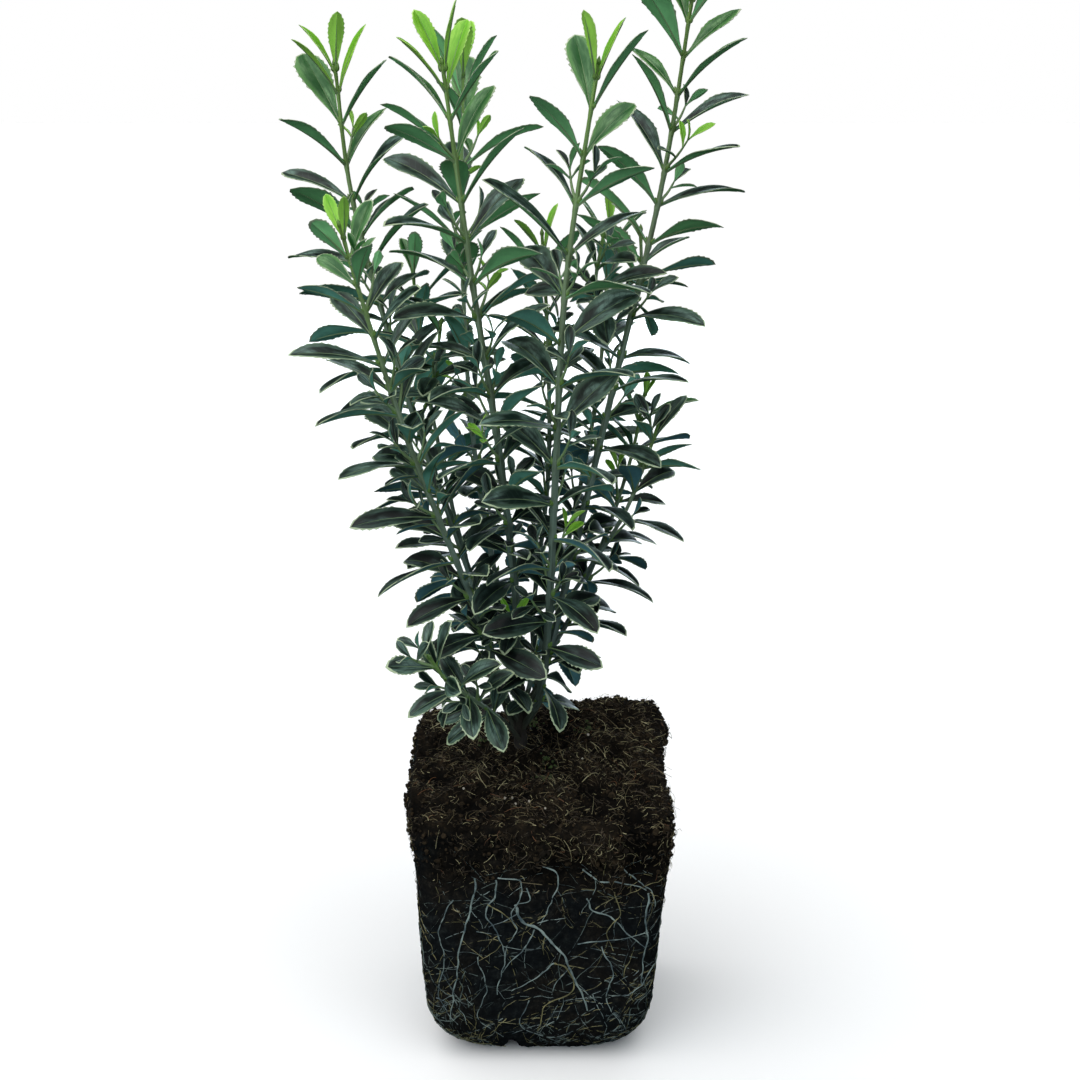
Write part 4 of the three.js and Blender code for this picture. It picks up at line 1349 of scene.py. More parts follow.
bark = Pile()
woody = [("trunk", TRUNK_SEED, 0, trunk_path["length"])]
for index, row in enumerate(SHOOTS):
    if row["parent"] == "trunk":
        woody.append((row["name"], index, 0, row["bare"] - LIMB_END))
for name, seed, start, end in woody:
    distances = np.linspace(start, end, int((end - start) / BARK_STEP))
    turn = 0 if name == "trunk" else math.radians(SHOOTS[seed]["turn"])
    path = stems[name]["path"]
    rings = stem_rings(path, distances, BARK_SIDES, turn, lambda d, a: barked(name, seed, d, a))
    up = distances / end if name == "trunk" else 1 + distances / end
    pattern = np.stack(np.meshgrid(np.arange(BARK_SIDES) / BARK_SIDES, up), axis=-1)
    bark.tube(rings, pattern)
print("woody stems:", [name for name, *_ in woody])

# %% [markdown]
# Bark is nearly black where the soil splashed it, brown a little higher, and grey-green where the
# leafy stems begin. As with the green stems, the colour runs over the second number of the pattern,
# which counts 0 to 1 up the trunk and 1 to 2 up a bare stem. Fine lines along it are darker.

# %% Bark material
BARK_COLOURS = [(0.0, (24, 19, 14)), (0.2, (38, 31, 23)), (0.5, (62, 58, 44)), (1.0, (72, 86, 70))]

finish = Finish("bark", Roughness=0.8)
where = finish.pattern()
_, up = finish.split(where)
aged = finish.shades(finish.math("MULTIPLY", up, 0.5), BARK_COLOURS)
lines = finish.noise(where, 1.0, (16.0, 3.0, 1), detail=5)
finish.colour(finish.mix(1.0, aged, finish.ramp(lines, (0.3, 0.45), (0.65, 1.0)), "MULTIPLY"))
finish.relief(lines, 0.5, 0.0003)
bark.build("bark", finish.material, "bark", "trunk", *limb_nodes)

# %% [markdown]
# ## The shape of the root ball
# The ball is the cast of a square pot: four drafted walls, round corners, a foot rim drawn in, and a
# wedge where each foot of the pot pressed in. Any point on it is found from two numbers, how far
# round and how high, so that soil, crumbs, fibres and roots can all be laid on the same surface.

# %% The ball's walls
BALL_FOOT_HALF = 36
FOOT_ROUND_HEIGHT, FOOT_ROUND_WIDTH, RIM_ROUND = 19, 13, 4
SQUARENESS_TOP, SQUARENESS_FOOT, SQUARE_FROM = 9, 4, 24
NOTCH_FOOT, NOTCH_HEAD, NOTCH_HEIGHT, NOTCH_OFFSET, NOTCH_INNER_END = 3.8, 0.9, 9, -9, 15
SLOPE_FROM, WALL_STEEPNESS, TURN_STEPS = 45, 4, 1441
MID_HALF = 40


def ball_half(z):
    """Half the ball's width at a height: drafted walls, drawn in round the foot and the rim."""
    wall = BALL_FOOT_HALF + (BALL_TOP_HALF - BALL_FOOT_HALF) * z / BALL_HEIGHT
    below = np.clip(1 - z / FOOT_ROUND_HEIGHT, 0, 1)
    above = np.clip(1 - (BALL_HEIGHT - z) / RIM_ROUND, 0, 1)
    foot = FOOT_ROUND_WIDTH * (1 - np.sqrt(1 - below**2))
    return wall - foot - RIM_ROUND * (1 - np.sqrt(1 - above**2))


def rounded_square(angle, power):
    """How far out a rounded square of half width 1 lies at an angle; a high power is squarer."""
    return (np.abs(np.cos(angle)) ** power + np.abs(np.sin(angle)) ** power) ** (-1 / power)


turns = np.linspace(0, 2 * np.pi, TURN_STEPS) - np.pi / 2
rim_reach = rounded_square(turns, SQUARENESS_TOP)
walked = np.hypot(np.diff(rim_reach * np.cos(turns)), np.diff(rim_reach * np.sin(turns)))
walked = np.concatenate([[0], np.cumsum(walked)])
ROUND_LENGTH = walked[-1]


def angle_round(share):
    """The angle of a share of the way round: 0 is the middle of the front wall, 0.25 the right."""
    return np.interp(np.mod(share, 1) * ROUND_LENGTH, walked, turns)


print("once round the ball:", round(float(ROUND_LENGTH * MID_HALF)), "mm at half height")

# %% [markdown]
# The soil was never level: it slopes up to the back, a heap leans into the right back corner, and a
# little mound lies round the trunk. Each heap is a soft bell of height over the top, so wall and top
# rise together where a heap meets the rim. The direction out of the wall comes with each place.

# %% Heaps, and places on the wall
HEAPS = [(36, 40, 4.2, 17), (8, 36, 2.4, 9), (TRUNK_POINTS[0][0], TRUNK_POINTS[0][1], 2.2, 7.7)]


def lift_at(x, y):
    """How far heaps of loose soil lift the top of the ball."""
    return sum(high * np.exp(-((x - across) ** 2 + (y - back) ** 2) / reach**2)
               for across, back, high, reach in HEAPS)


def wall_place(share, z):
    """A place on the bare wall, and the direction out of it."""
    angle = angle_round(share)
    squareness = SQUARENESS_FOOT + (SQUARENESS_TOP - SQUARENESS_FOOT) * np.clip(z / SQUARE_FROM, 0, 1)
    reach = ball_half(z) * rounded_square(angle, squareness)
    x, y = reach * np.cos(angle), reach * np.sin(angle)
    zero = np.zeros_like(x)
    out_x, out_y = (np.sign(side) * np.abs(side / reach) ** WALL_STEEPNESS for side in (x, y))
    out = np.stack([out_x, out_y, zero], axis=-1)
    drawn_in = ball_half(z + 0.5) - ball_half(z - 0.5)
    out /= np.linalg.norm(out, axis=-1, keepdims=True)
    out = out - np.stack([zero, zero, drawn_in], axis=-1)
    out /= np.linalg.norm(out, axis=-1, keepdims=True)
    share_up = np.clip((z - SLOPE_FROM) / (BALL_HEIGHT - SLOPE_FROM), 0, 1)
    slope = share_up * (SOIL_SLOPE * y + lift_at(x, y))
    return np.stack([x, y, z + slope], axis=-1), out


print("lift in the right back corner:", round(float(lift_at(BALL_TOP_HALF, BALL_TOP_HALF)), 1), "mm")

# %% [markdown]
# ## Crumbly soil
# The lower walls were pressed smooth by the pot, and the top has crumbled into lumps of peat. Lumps
# are rounded cells of a few millimetres with finer grain on them, so the relief adds cell noise to
# fractal noise, strong where the soil is loose and faint where it was pressed. The line between the
# two is ragged and lower on the right, and a few bulges and dents give the ball its uneven outline.

# %% Relief of the soil
LOOSE_FROM, LOOSE_FULL, LOOSE_TILT = 69, 91, 0.24
MOUND_SIZE, MOUND_DEPTH = 13.0, 4.2
LUMP_SIZE, LUMP_DEPTH = 5.0, 2.0
CRUMB_SIZE, CRUMB_DEPTH = 2.0, 1.1
GRAIN_SIZE, GRAIN_DEPTH = 0.8, 0.6
PRESSED_SIZE, PRESSED_DEPTH = 2.6, 0.4
MEAN_LUMP, MEAN_CRUMB = 0.45, 0.4
RAGGED = [(12, 11), (14, 26)]
BULGES = [(0.125, 84, 10, -0.4), (0.88, 70, 20, -2.2), (0.365, 84, 13, 3.2), (0.64, 74, 10, 1.2)]


def soil_relief(place, looseness):
    """How far the soil stands out at a place, in millimetres."""
    spot = Vector(place)
    mound = noise.noise(spot / MOUND_SIZE)
    lump = MEAN_LUMP - noise.voronoi(spot / LUMP_SIZE)[0][0]
    crumb = MEAN_CRUMB - noise.voronoi(spot / CRUMB_SIZE)[0][0]
    grain = noise.fractal(spot / GRAIN_SIZE, 0.6, 2.0, 3)
    loose = MOUND_DEPTH * mound + LUMP_DEPTH * lump + CRUMB_DEPTH * crumb + GRAIN_DEPTH * grain
    pressed = PRESSED_DEPTH * (noise.fractal(spot / PRESSED_SIZE, 0.8, 2.0, 4) + 0.5 * grain)
    return looseness * loose + (1 - looseness) * pressed


def looseness_at(z, place):
    """0 where the pot pressed the soil, 1 where it is loose."""
    ragged = sum(reach * noise.noise(Vector(place) / size) for reach, size in RAGGED)
    ragged += LOOSE_TILT * place[0]
    return float(np.clip((z + ragged - LOOSE_FROM) / (LOOSE_FULL - LOOSE_FROM), 0, 1))


def ball_surface(shares, heights):
    """Places on the crumbly wall, how far each stands out, and how loose the soil is there."""
    places, out = wall_place(np.asarray(shares, float), np.asarray(heights, float))
    loose = np.array([looseness_at(z, place) for z, place in zip(heights, places)])
    stand = np.array([soil_relief(place, share) for place, share in zip(places, loose)])
    for share, height, reach, size in BULGES:
        round_gap = (np.mod(np.asarray(shares) - share + 0.5, 1) - 0.5) * ROUND_LENGTH * MID_HALF
        stand += size * np.exp(-(round_gap**2 + (heights - height) ** 2) / reach**2)
    return places + out * stand[:, None], stand, loose


print("relief: lumps of", LUMP_SIZE, "mm on loose soil")

# %% [markdown]
# ## The ball as one mesh
# Rings run up the walls, in over the soil's dome to the middle, and the underside is closed the same
# way. Every ring has the same number of points, so the whole ball is one tube with a cap at each end.

# %% Soil mesh
RING_POINTS, ROUND = 380, 2
UNDER_SHARES, TOP_SHARES = np.linspace(0.15, 0.95, 8), np.linspace(0.985, 0.02, 46)
WALL_HEIGHTS = np.concatenate([[0.0, 0.35, 0.9, 1.6], np.arange(2.4, BALL_HEIGHT - 0.8, 0.85)])


def top_ring(share):
    """A ring of the soil's surface at a share of the way out, round in the middle and square at the rim."""
    squareness = ROUND + (SQUARENESS_TOP - ROUND) * share**3
    angle = angle_round(np.arange(RING_POINTS) / RING_POINTS)
    reach = share * ball_half(BALL_HEIGHT - 1.0) * rounded_square(angle, squareness)
    x, y = reach * np.cos(angle), reach * np.sin(angle)
    z = soil_level(x, y)
    relief = np.array([soil_relief(place, 1.0) for place in np.stack([x, y, z], axis=-1)])
    return np.stack([x, y, z + relief + lift_at(x, y)], axis=-1), relief


def notched(ring):
    """A ring near the floor with the pot's four wedges pressed into it."""
    x, y, z = ring.T
    for across, reach in ((x, -y), (y, x), (-x, y), (-y, -x)):
        high = NOTCH_HEIGHT * reach / BALL_TOP_HALF
        side = (NOTCH_FOOT - np.abs(across - NOTCH_OFFSET)) / (NOTCH_FOOT - NOTCH_HEAD)
        wedge = np.where(reach > NOTCH_INNER_END, high * np.clip(side, 0, 1), 0)
        z = np.maximum(z, wedge)
    return np.stack([x, y, z], axis=-1)


ring_shares = np.arange(RING_POINTS) / RING_POINTS
rings, pattern = [], []
for share in UNDER_SHARES:
    places, _ = wall_place(ring_shares, np.zeros(RING_POINTS))
    rings.append(notched(places * (share, share, 1)))
    pattern.append(np.zeros((RING_POINTS, 2)))
for z in WALL_HEIGHTS:
    places, stand, loose = ball_surface(ring_shares, np.full(RING_POINTS, z))
    places[:, 2] = np.maximum(places[:, 2], 0)
    rings.append(notched(places))
    pattern.append(np.stack([stand, loose], axis=-1))
for share in TOP_SHARES:
    places, stand = top_ring(share)
    rings.append(places)
    pattern.append(np.stack([stand, np.ones(RING_POINTS)], axis=-1))
soil = Pile()
soil.tube(np.stack(rings), np.concatenate(pattern))
print("the ball:", len(rings), "rings of", RING_POINTS, "points")

# %% [markdown]
# Wet peat is nearly black, and drier crumbs on top turn warm brown. The mesh carries two numbers on
# its pattern, how far a point stands out and how loose the soil is there, so on loose soil the hollows
# get painted shade and the crests stay lighter. Clouds of brown also reach down into the pressed wall.
# Soil has no gloss at all, so its roughness is high and its specular level low.

# %% Soil material
PRESSED_COLOURS = [(0.34, (6, 9, 11)), (0.52, (15, 19, 21)), (0.76, (46, 50, 48))]
LOOSE_COLOURS = [(0.36, (10, 9, 7)), (0.54, (34, 28, 20)), (0.76, (78, 64, 46))]
HOLLOW, CREST, HOLLOW_SHADE_LEVEL = -1.6, 1.6, 0.12

finish = Finish("soil", Roughness=0.95, Specular_IOR_Level=0.09)
stand, loose = finish.split(finish.pattern())
where = finish.node("TexCoord").outputs["Object"]
flecks = finish.noise(where, 420.0, detail=8, rough=0.75)
fine = finish.noise(where, 1500.0, detail=4, rough=0.7)
black, brown = finish.shades(flecks, PRESSED_COLOURS), finish.shades(flecks, LOOSE_COLOURS)
clouds = finish.noise(where, 55.0)
black = finish.mix(finish.ramp(clouds, (0.46, 0.0), (0.68, 0.6)), black, brown)
mixed = finish.mix(loose, black, brown)
# Painted shade: on loose soil the colour is darkened in the hollows of the relief.
links = [("Value", stand), ("From Min", HOLLOW), ("From Max", CREST), ("To Min", HOLLOW_SHADE_LEVEL)]
raised = finish.node("MapRange", links).outputs[0]
hollow_shade = finish.mix(loose, linear(255, 255, 255), raised)
speckled = finish.ramp(fine, (0.3, 0.5), (0.6, 1.0))
finish.colour(finish.mix(1.0, finish.mix(1.0, mixed, hollow_shade, "MULTIPLY"), speckled, "MULTIPLY"))
finish.relief(fine, 0.8, 0.0006)
soil.build("soil", finish.material, "soil", "root_ball", sharp=math.radians(80))

# %% [markdown]
# ## The shape of a crumb
# A crumb of peat is a small faceted lump. It starts from the ball of twenty triangles, whose twelve
# corners are known exactly; any three of them that lie an edge apart make a face. Moving the corners
# by chance gives each crumb its own shape.

# %% A ball of twenty triangles
import itertools

BARELY_MORE = 1.01


def lump_shape():
    """The corners and faces of a ball of twenty triangles."""
    golden = (1 + math.sqrt(5)) / 2
    corners = []
    for a in (-1, 1):
        for b in (-golden, golden):
            corners += [(0, a, b), (a, b, 0), (b, 0, a)]
    corners = np.array(corners) / math.hypot(1, golden)
    edge = 2 / math.hypot(1, golden) * BARELY_MORE
    close = np.linalg.norm(corners[:, None] - corners, axis=2) < edge
    faces = []
    for i, j, k in itertools.combinations(range(len(corners)), 3):
        if close[i, j] and close[j, k] and close[i, k]:
            turned = np.linalg.det(corners[[i, j, k]]) > 0
            faces.append((i, j, k) if turned else (i, k, j))
    return corners, np.array(faces)


LUMP_CORNERS, LUMP_FACES = lump_shape()
print("a lump:", len(LUMP_CORNERS), "corners and", len(LUMP_FACES), "triangles")

# %% [markdown]
# ## Loose crumbs
# Separate crumbs cling all over the loose part and make its outline ragged, which relief alone can't
# do. A particle system could strew them, but would have to be turned into a mesh again, so a few
# thousand are placed by seeded chance, half of them on top and the rest on the upper walls, more of
# them near the rim.

# %% Crumbs on the loose soil
CRUMBS, CRUMBS_FROM, CRUMBS_ON_TOP, BROWN_CRUMBS, CRUMB_STAND = 3000, 70, 0.5, 0.45, 0.35
CRUMB_RADII = [(0, 0.22), (0.7, 0.5), (0.95, 0.85), (1, 1.3)]
CRUMB_CORNERS, CRUMB_SQUASH = (0.7, 1.3), (0.7, 1.2)
RIM_CROWDING, RIM_MARGIN = 0.55, 2


def scatter_places(count, chance, low, on_top):
    """Places for loose things on the soil: some on the walls above a height, some on top."""
    top_count = int(count * on_top)
    shares = chance.uniform(0, 1, count - top_count)
    heights = low + (BALL_HEIGHT - 1 - low) * chance.uniform(0, 1, count - top_count) ** RIM_CROWDING
    _, out = wall_place(shares, heights)
    places, _, _ = ball_surface(shares, heights)
    reach = BALL_TOP_HALF - RIM_MARGIN
    flat = chance.uniform(-reach, reach, (top_count, 2))
    level = soil_level(flat[:, 0], flat[:, 1])
    tops = np.column_stack([flat, level])
    tops[:, 2] += [soil_relief(place, 1.0) for place in tops]
    tops[:, 2] += lift_at(flat[:, 0], flat[:, 1])
    ups = np.tile([0.0, 0.0, 1.0], (top_count, 1))
    return np.concatenate([places, tops]), np.concatenate([out, ups])


chance = np.random.default_rng(SEED + 1)
crumb_places, crumb_out = scatter_places(CRUMBS, chance, CRUMBS_FROM, CRUMBS_ON_TOP)
crumbs = {"dark": Pile(), "brown": Pile()}
for place, out in zip(crumb_places, crumb_out):
    radius = float(profile(CRUMB_RADII, chance.uniform()))
    uneven = chance.uniform(*CRUMB_CORNERS, (len(LUMP_CORNERS), 1))
    corners = LUMP_CORNERS * uneven * chance.uniform(*CRUMB_SQUASH, 3) * radius
    spin = np.linalg.qr(chance.normal(size=(3, 3)))[0]
    spin *= np.sign(np.linalg.det(spin))
    pile = crumbs["brown" if chance.uniform() < BROWN_CRUMBS else "dark"]
    pile.add(corners @ spin.T + place + out * radius * CRUMB_STAND, (), LUMP_FACES)
print("crumbs:", CRUMBS)

# %% [markdown]
# The crumbs are the same peat as the ball, some fresh and dark and some dried to brown. They get two
# finishes of their own, because noise over so small a lump could only tint it as a whole.

# %% Crumb material
EARTH = {"dark": ((10, 9, 7), (34, 28, 20)), "brown": ((22, 18, 12), (58, 48, 34))}


def earth(name, dark, light):
    """Crumbs of peat: two browns mixed by a fine noise."""
    finish = Finish(name, Roughness=0.95, Specular_IOR_Level=0.12)
    grain = finish.noise(finish.node("TexCoord").outputs["Object"], 900.0, detail=6, rough=0.75)
    finish.colour(finish.shades(grain, ((0.35, dark), (0.7, light))))
    finish.relief(grain, 0.7, 0.0005)
    return finish.material


for tone, pile in crumbs.items():
    material = earth(f"{tone}_crumbs", *EARTH[tone])
    pile.build(f"crumbs_{tone}", material, "soil", sharp=math.radians(20))

# %% [markdown]
# ## Threads
# Fibres and roots are threads: thin, bent and far too many for a curve object each. A helper lays a
# slim tube of three to six sides along any line of points, with a radius for each point. It finds
# one steady direction square to the whole line, so that the tube never twists on its way.

# %% A thin tube along points


def unit(arrows):
    """Arrows cut to length 1."""
    return arrows / np.linalg.norm(arrows, axis=-1, keepdims=True)


def thread(pile, points, radii, sides):
    """A thin tube along some points."""
    travel = unit(np.gradient(points, axis=0))
    steady = np.eye(3)[np.argmin(np.abs(travel.mean(axis=0)))]
    first = unit(np.cross(steady, travel))
    second = np.cross(travel, first)
    angles = 2 * np.pi * np.arange(sides) / sides
    ring = np.cos(angles)[:, None] * first[:, None] + np.sin(angles)[:, None] * second[:, None]
    pile.tube(points[:, None] + np.reshape(radii, (-1, 1, 1)) * ring)


print("a short thread has", sum(len(faces) for faces in tube_faces(5, 3)), "faces")

# %% [markdown]
# ## Fibres in the soil
# The peat is full of short curled fibres, tan, brown, rust and straw, which catch the light and give
# the soil its scale. Hair curves would be lost in an export, so each fibre is a thread along an arc
# that leaves the soil and comes back to it, or stands up a little on top. Each colour is a piece.

# %% One fibre
FIBRE_RINGS, STANDING, CURL = 5, 0.7, 2.4
ARCH, LEAN, FIBRE_LIFT = 0.16, 0.1, 0.3


def plain_finish(name, dark, light, roughness, grain_scale=260.0):
    """Small things of one colour, a little uneven from place to place."""
    finish = Finish(name, Roughness=roughness)
    grain = finish.noise(finish.node("TexCoord").outputs["Object"], grain_scale, detail=3)
    finish.colour(finish.shades(grain, ((0.35, dark), (0.65, light))))
    return finish.material


def fibre(place, out, length, chance):
    """The points of a curled fibre that starts and ends near the soil."""
    aside = unit(np.cross(out, chance.normal(size=3)))
    along_soil = np.cross(out, aside)
    curl = chance.uniform(-CURL, CURL)
    headings = curl * (np.linspace(0, 1, FIBRE_RINGS) - 0.5)
    steps = np.cos(headings)[:, None] * along_soil + np.sin(headings)[:, None] * aside
    line = np.cumsum(steps, axis=0) * length / FIBRE_RINGS
    arch = np.sin(np.linspace(0, np.pi, FIBRE_RINGS)) * length * chance.uniform(0.0, ARCH)
    inside = 1 - min(1, max(abs(place[0]), abs(place[1])) / BALL_TOP_HALF) ** 4
    rise = STANDING * inside * max(0, out[2]) * chance.uniform(-0.3, 1) + chance.uniform(-LEAN, LEAN)
    stand = np.linspace(0, 1, FIBRE_RINGS) * length * max(-LEAN, rise)
    return place + line - line.mean(axis=0) + (arch + stand + FIBRE_LIFT)[:, None] * out


print("fibre: curls by up to", CURL, "radians")

# %% [markdown]
# Now the fibres are strewn. Two sizes of noise decide where drifts of them lie, and the looseness of
# the soil decides again, with a few strays left on the pressed wall.

# %% Strewing the fibres
FIBRES, FIBRES_FROM, FIBRES_ON_TOP = 9800, 50, 0.52
KEPT_ABOVE, KEPT_VARIES, STRAY_FIBRES, FINE_DRIFTS = -0.35, 0.25, 0.22, 4
FIBRE_TONES = {"tan": ((70, 62, 42), (120, 108, 76)), "brown": ((38, 31, 21), (78, 66, 46)),
               "rust": ((72, 46, 26), (116, 76, 42)), "straw": ((124, 116, 82), (192, 184, 142))}
FIBRE_SHARES = {"tan": 0.31, "brown": 0.52, "rust": 0.03, "straw": 0.14}
FIBRE_LENGTHS = [(0, 0.9), (0.5, 2.3), (0.9, 4.6), (1, 11.0)]
FIBRE_RADII = [(0, 0.045), (0.6, 0.07), (1, 0.14)]
FIBRE_TAPER = (1.1, 0.5)

fibre_places, fibre_out = scatter_places(FIBRES, chance, FIBRES_FROM, FIBRES_ON_TOP)
fibres = {tone: Pile() for tone in FIBRE_TONES}
fibre_tones = chance.choice(list(FIBRE_SHARES), FIBRES, p=list(FIBRE_SHARES.values()))
for place, out, tone in zip(fibre_places, fibre_out, fibre_tones):
    length = float(profile(FIBRE_LENGTHS, chance.uniform()))
    radius = float(profile(FIBRE_RADII, chance.uniform()))
    drift = noise.noise(Vector(place) / MOUND_SIZE) + noise.noise(Vector(place) / FINE_DRIFTS)
    if drift < chance.normal(KEPT_ABOVE, KEPT_VARIES):
        continue
    if looseness_at(place[2], place) + STRAY_FIBRES < chance.uniform():
        continue
    taper = radius * np.linspace(*FIBRE_TAPER, FIBRE_RINGS)
    thread(fibres[tone], fibre(place, out, length, chance), taper, 3)
for tone, pile in fibres.items():
    pile.build(f"fibres_{tone}", plain_finish(f"fibre_{tone}", *FIBRE_TONES[tone], 0.7), "soil")

# %% [markdown]
# ## Laying a root on the wall
# Where the soil met the pot, pale roots ran down and along the wall and were pressed into it. A root
# is a thread whose way is given round and up the wall. It gets small kinks and an uneven thickness,
# lies over the smoothed relief, half sunk in, and is left out if it would cross a foot's wedge.

# %% Laying a root
ROOT_STEP, ROOT_KINK, ROOT_SHARE, ROOT_TIP, LOWEST_ROOT = 0.9, 0.28, 0.76, 0.5, 1.5
ROUND_WALL, QUARTER, SMOOTHED_OVER = 2 * math.pi * 46, 0.25, 5
ROOT_UNEVEN, UNEVEN_STEP, THICK_ROOT, SLIM_ROOT, ROOT_STAND = 0.22, 1.3, 0.2, 0.1, 0.25
KINK_STEP, KINK_BY_RADIUS, KINK_BY_PLACE = 0.3, 90, 400


def share_round(x, z):
    """How far round the ball a point of the front wall lies."""
    angle = np.arctan2(-ball_half(z), x)
    angle = np.where(angle < -np.pi / 2, angle + 2 * np.pi, angle)
    return np.interp(angle, turns, walked) / ROUND_LENGTH


def lay_root(pile, shares, heights, radius):
    """A root along the wall, over the relief of the soil and half sunk into it."""
    radius *= ROOT_SHARE
    from_middle = np.mod(shares + QUARTER / 2, QUARTER) - QUARTER / 2
    aside = from_middle * ROUND_LENGTH * BALL_FOOT_HALF - NOTCH_OFFSET
    if ((np.abs(aside) < NOTCH_FOOT) & (heights < NOTCH_HEIGHT)).any():
        return
    own = (KINK_BY_RADIUS * radius, KINK_BY_PLACE * shares[0])
    spots = [Vector((KINK_STEP * k, *own)) for k in range(len(shares))]
    kinks = ROOT_KINK * np.array([noise.noise_vector(spot) for spot in spots])
    shares = shares + kinks[:, 0] / ROUND_WALL
    heights = np.clip(heights + kinks[:, 1], LOWEST_ROOT, BALL_HEIGHT - 2)
    bare, out = wall_place(shares, heights)
    _, stand, _ = ball_surface(shares, heights)
    evenly = np.ones(SMOOTHED_OVER) / SMOOTHED_OVER
    stand = np.convolve(np.pad(stand, SMOOTHED_OVER // 2, mode="edge"), evenly, mode="valid")
    uneven = 1 + ROOT_UNEVEN * np.sin(UNEVEN_STEP * np.arange(len(shares)) + 9 * radius)
    radii = radius * uneven * np.linspace(1.0, ROOT_TIP, len(shares))
    sides = 6 if radius > THICK_ROOT else 4 if radius > SLIM_ROOT else 3
    thread(pile, bare + out * (stand + ROOT_STAND * radius)[:, None], radii, sides)


print("roots: points every", ROOT_STEP, "mm")

# %% [markdown]
# ## Wandering and branching
# A root that grows against a wall wanders, bending a little at every step, and turns along the foot
# when it reaches it. Fine side roots leave it at an angle. A few lines of chance give this, where
# drawing every root by hand would take a day.

# %% A root's way
TURN_BELOW, TURN_BACK = 7, 0.5
BRANCH_EVERY, BRANCH_ANGLE, BRANCH_LENGTH = 7, (0.5, 1.2), (4, 18)
BRANCH_SHARE, BRANCH_BEND, BRANCH_TONES = 0.38, 0.1, (0.45, 0.35, 0.2)
ROOT_TONES = {"pale": ((66, 82, 86), (146, 162, 156)), "ochre": ((82, 80, 50), (142, 136, 94)),
              "dim": ((46, 60, 64), (92, 106, 98))}
roots = {tone: Pile() for tone in ROOT_TONES}


def any_tone(chance, pale_dim_ochre):
    """The pile of a tone that is drawn by the shares of the three."""
    return roots[chance.choice(["pale", "dim", "ochre"], p=pale_dim_ochre)]


def wander(share, z, heading, length, bend, chance):
    """A root's way over the wall: it wanders, and turns along the foot when it gets there."""
    shares, heights = [share], [z]
    for _ in range(int(length / ROOT_STEP)):
        heading += bend * chance.normal()
        if heights[-1] < TURN_BELOW and math.sin(heading) < 0:
            heading += TURN_BACK if math.cos(heading) > 0 else -TURN_BACK
        share += ROOT_STEP * math.cos(heading) / ROUND_WALL
        z = max(LOWEST_ROOT, z + ROOT_STEP * math.sin(heading))
        shares.append(share)
        heights.append(z)
    return np.array(shares), np.array(heights)


def branch_off(shares, heights, radius, chance):
    """Fine side roots that leave a root at an angle."""
    for k in chance.integers(1, len(shares) - 1, len(shares) // BRANCH_EVERY):
        across = (shares[k + 1] - shares[k - 1]) * ROUND_WALL
        heading = math.atan2(heights[k + 1] - heights[k - 1], across)
        heading += chance.choice([-1, 1]) * chance.uniform(*BRANCH_ANGLE)
        length = chance.uniform(*BRANCH_LENGTH)
        way = wander(shares[k], heights[k], heading, length, BRANCH_BEND, chance)
        lay_root(any_tone(chance, BRANCH_TONES), *way, BRANCH_SHARE * radius)


print("a side root for every", BRANCH_EVERY * ROOT_STEP, "mm of root")

# %% [markdown]
# ## Roots on the front wall
# The stronger roots on the front wall are laid where the photo shows them, by points in millimetres
# across and up that were read off. They are what one recognises this ball by, so chance would not do
# here; it only adds a gentle sway.

# %% The front wall's own roots
FRONT_SWAY, SWAY_SIZE, OWN_SWAY = 0.8, 4, 30
FRONT_ROOTS = [
    ("pale", 0.42, (-20, 71), (-22, 58), (-25, 47), (-26, 38), (-28, 26), (-30, 16)),
    ("pale", 0.38, (-14, 71), (-14, 65), (-17, 58), (-13, 48), (-11, 40), (-13, 31), (-13, 26)),
    ("pale", 0.32, (-13, 72), (-6, 71), (-6, 65), (-9, 56), (-7, 51), (-10, 44), (-11, 39)),
    ("ochre", 0.3, (-16, 61), (-10, 56), (-7, 51)),
    ("pale", 0.3, (-4, 68), (-3, 63), (-8, 61)),
    ("pale", 0.34, (1, 76), (5, 74), (6, 70), (4, 62), (0, 52)),
    ("pale", 0.62, (-8, 61), (-5, 54), (-1, 52), (4, 46), (8, 41), (11, 33), (16, 20)),
    ("ochre", 0.36, (5, 38), (9, 36), (11, 30), (9, 26), (2, 22), (0, 13)),
    ("pale", 0.36, (14, 75), (19, 71), (25, 71), (36, 66)),
    ("pale", 0.32, (26, 77), (31, 71), (37, 66), (39, 62), (40, 58)),
    ("pale", 0.46, (36, 65), (35, 56), (36, 48), (35, 39), (34, 29)),
    ("pale", 0.36, (15, 64), (17, 59), (23, 56), (29, 49), (35, 43)),
    ("pale", 0.28, (12, 45), (25, 47), (37, 49)),
    ("pale", 0.3, (-1, 51), (-4, 45), (-8, 40), (-12, 34)),
    ("pale", 0.3, (5, 38), (-3, 31), (-10, 27)),
    ("ochre", 0.28, (24, 67), (26, 58), (22, 50), (24, 42)),
    ("pale", 0.26, (-28, 62), (-33, 50), (-31, 38), (-34, 26), (-27, 14)),
    ("pale", 0.3, (20, 44), (24, 34), (22, 24), (27, 14)),
    ("pale", 0.24, (-20, 40), (-17, 28), (-20, 18), (-12, 9)),
    ("pale", 0.24, (-3, 24), (-6, 15), (3, 9), (12, 12)),
]

for tone, radius, *points in FRONT_ROOTS:
    flat = smooth_path([(x, 0, z) for x, z in points])
    spots, _ = along(flat, np.arange(0, flat["length"], ROOT_STEP))
    places = [Vector((x / SWAY_SIZE, z / SWAY_SIZE, radius * OWN_SWAY)) for x, _, z in spots]
    spots[:, 0] += FRONT_SWAY * np.array([noise.noise(place) for place in places])
    shares = share_round(spots[:, 0], spots[:, 2])
    lay_root(roots[tone], shares, spots[:, 2], radius)
    branch_off(shares, spots[:, 2], radius, chance)
print("roots on the front wall:", len(FRONT_ROOTS))

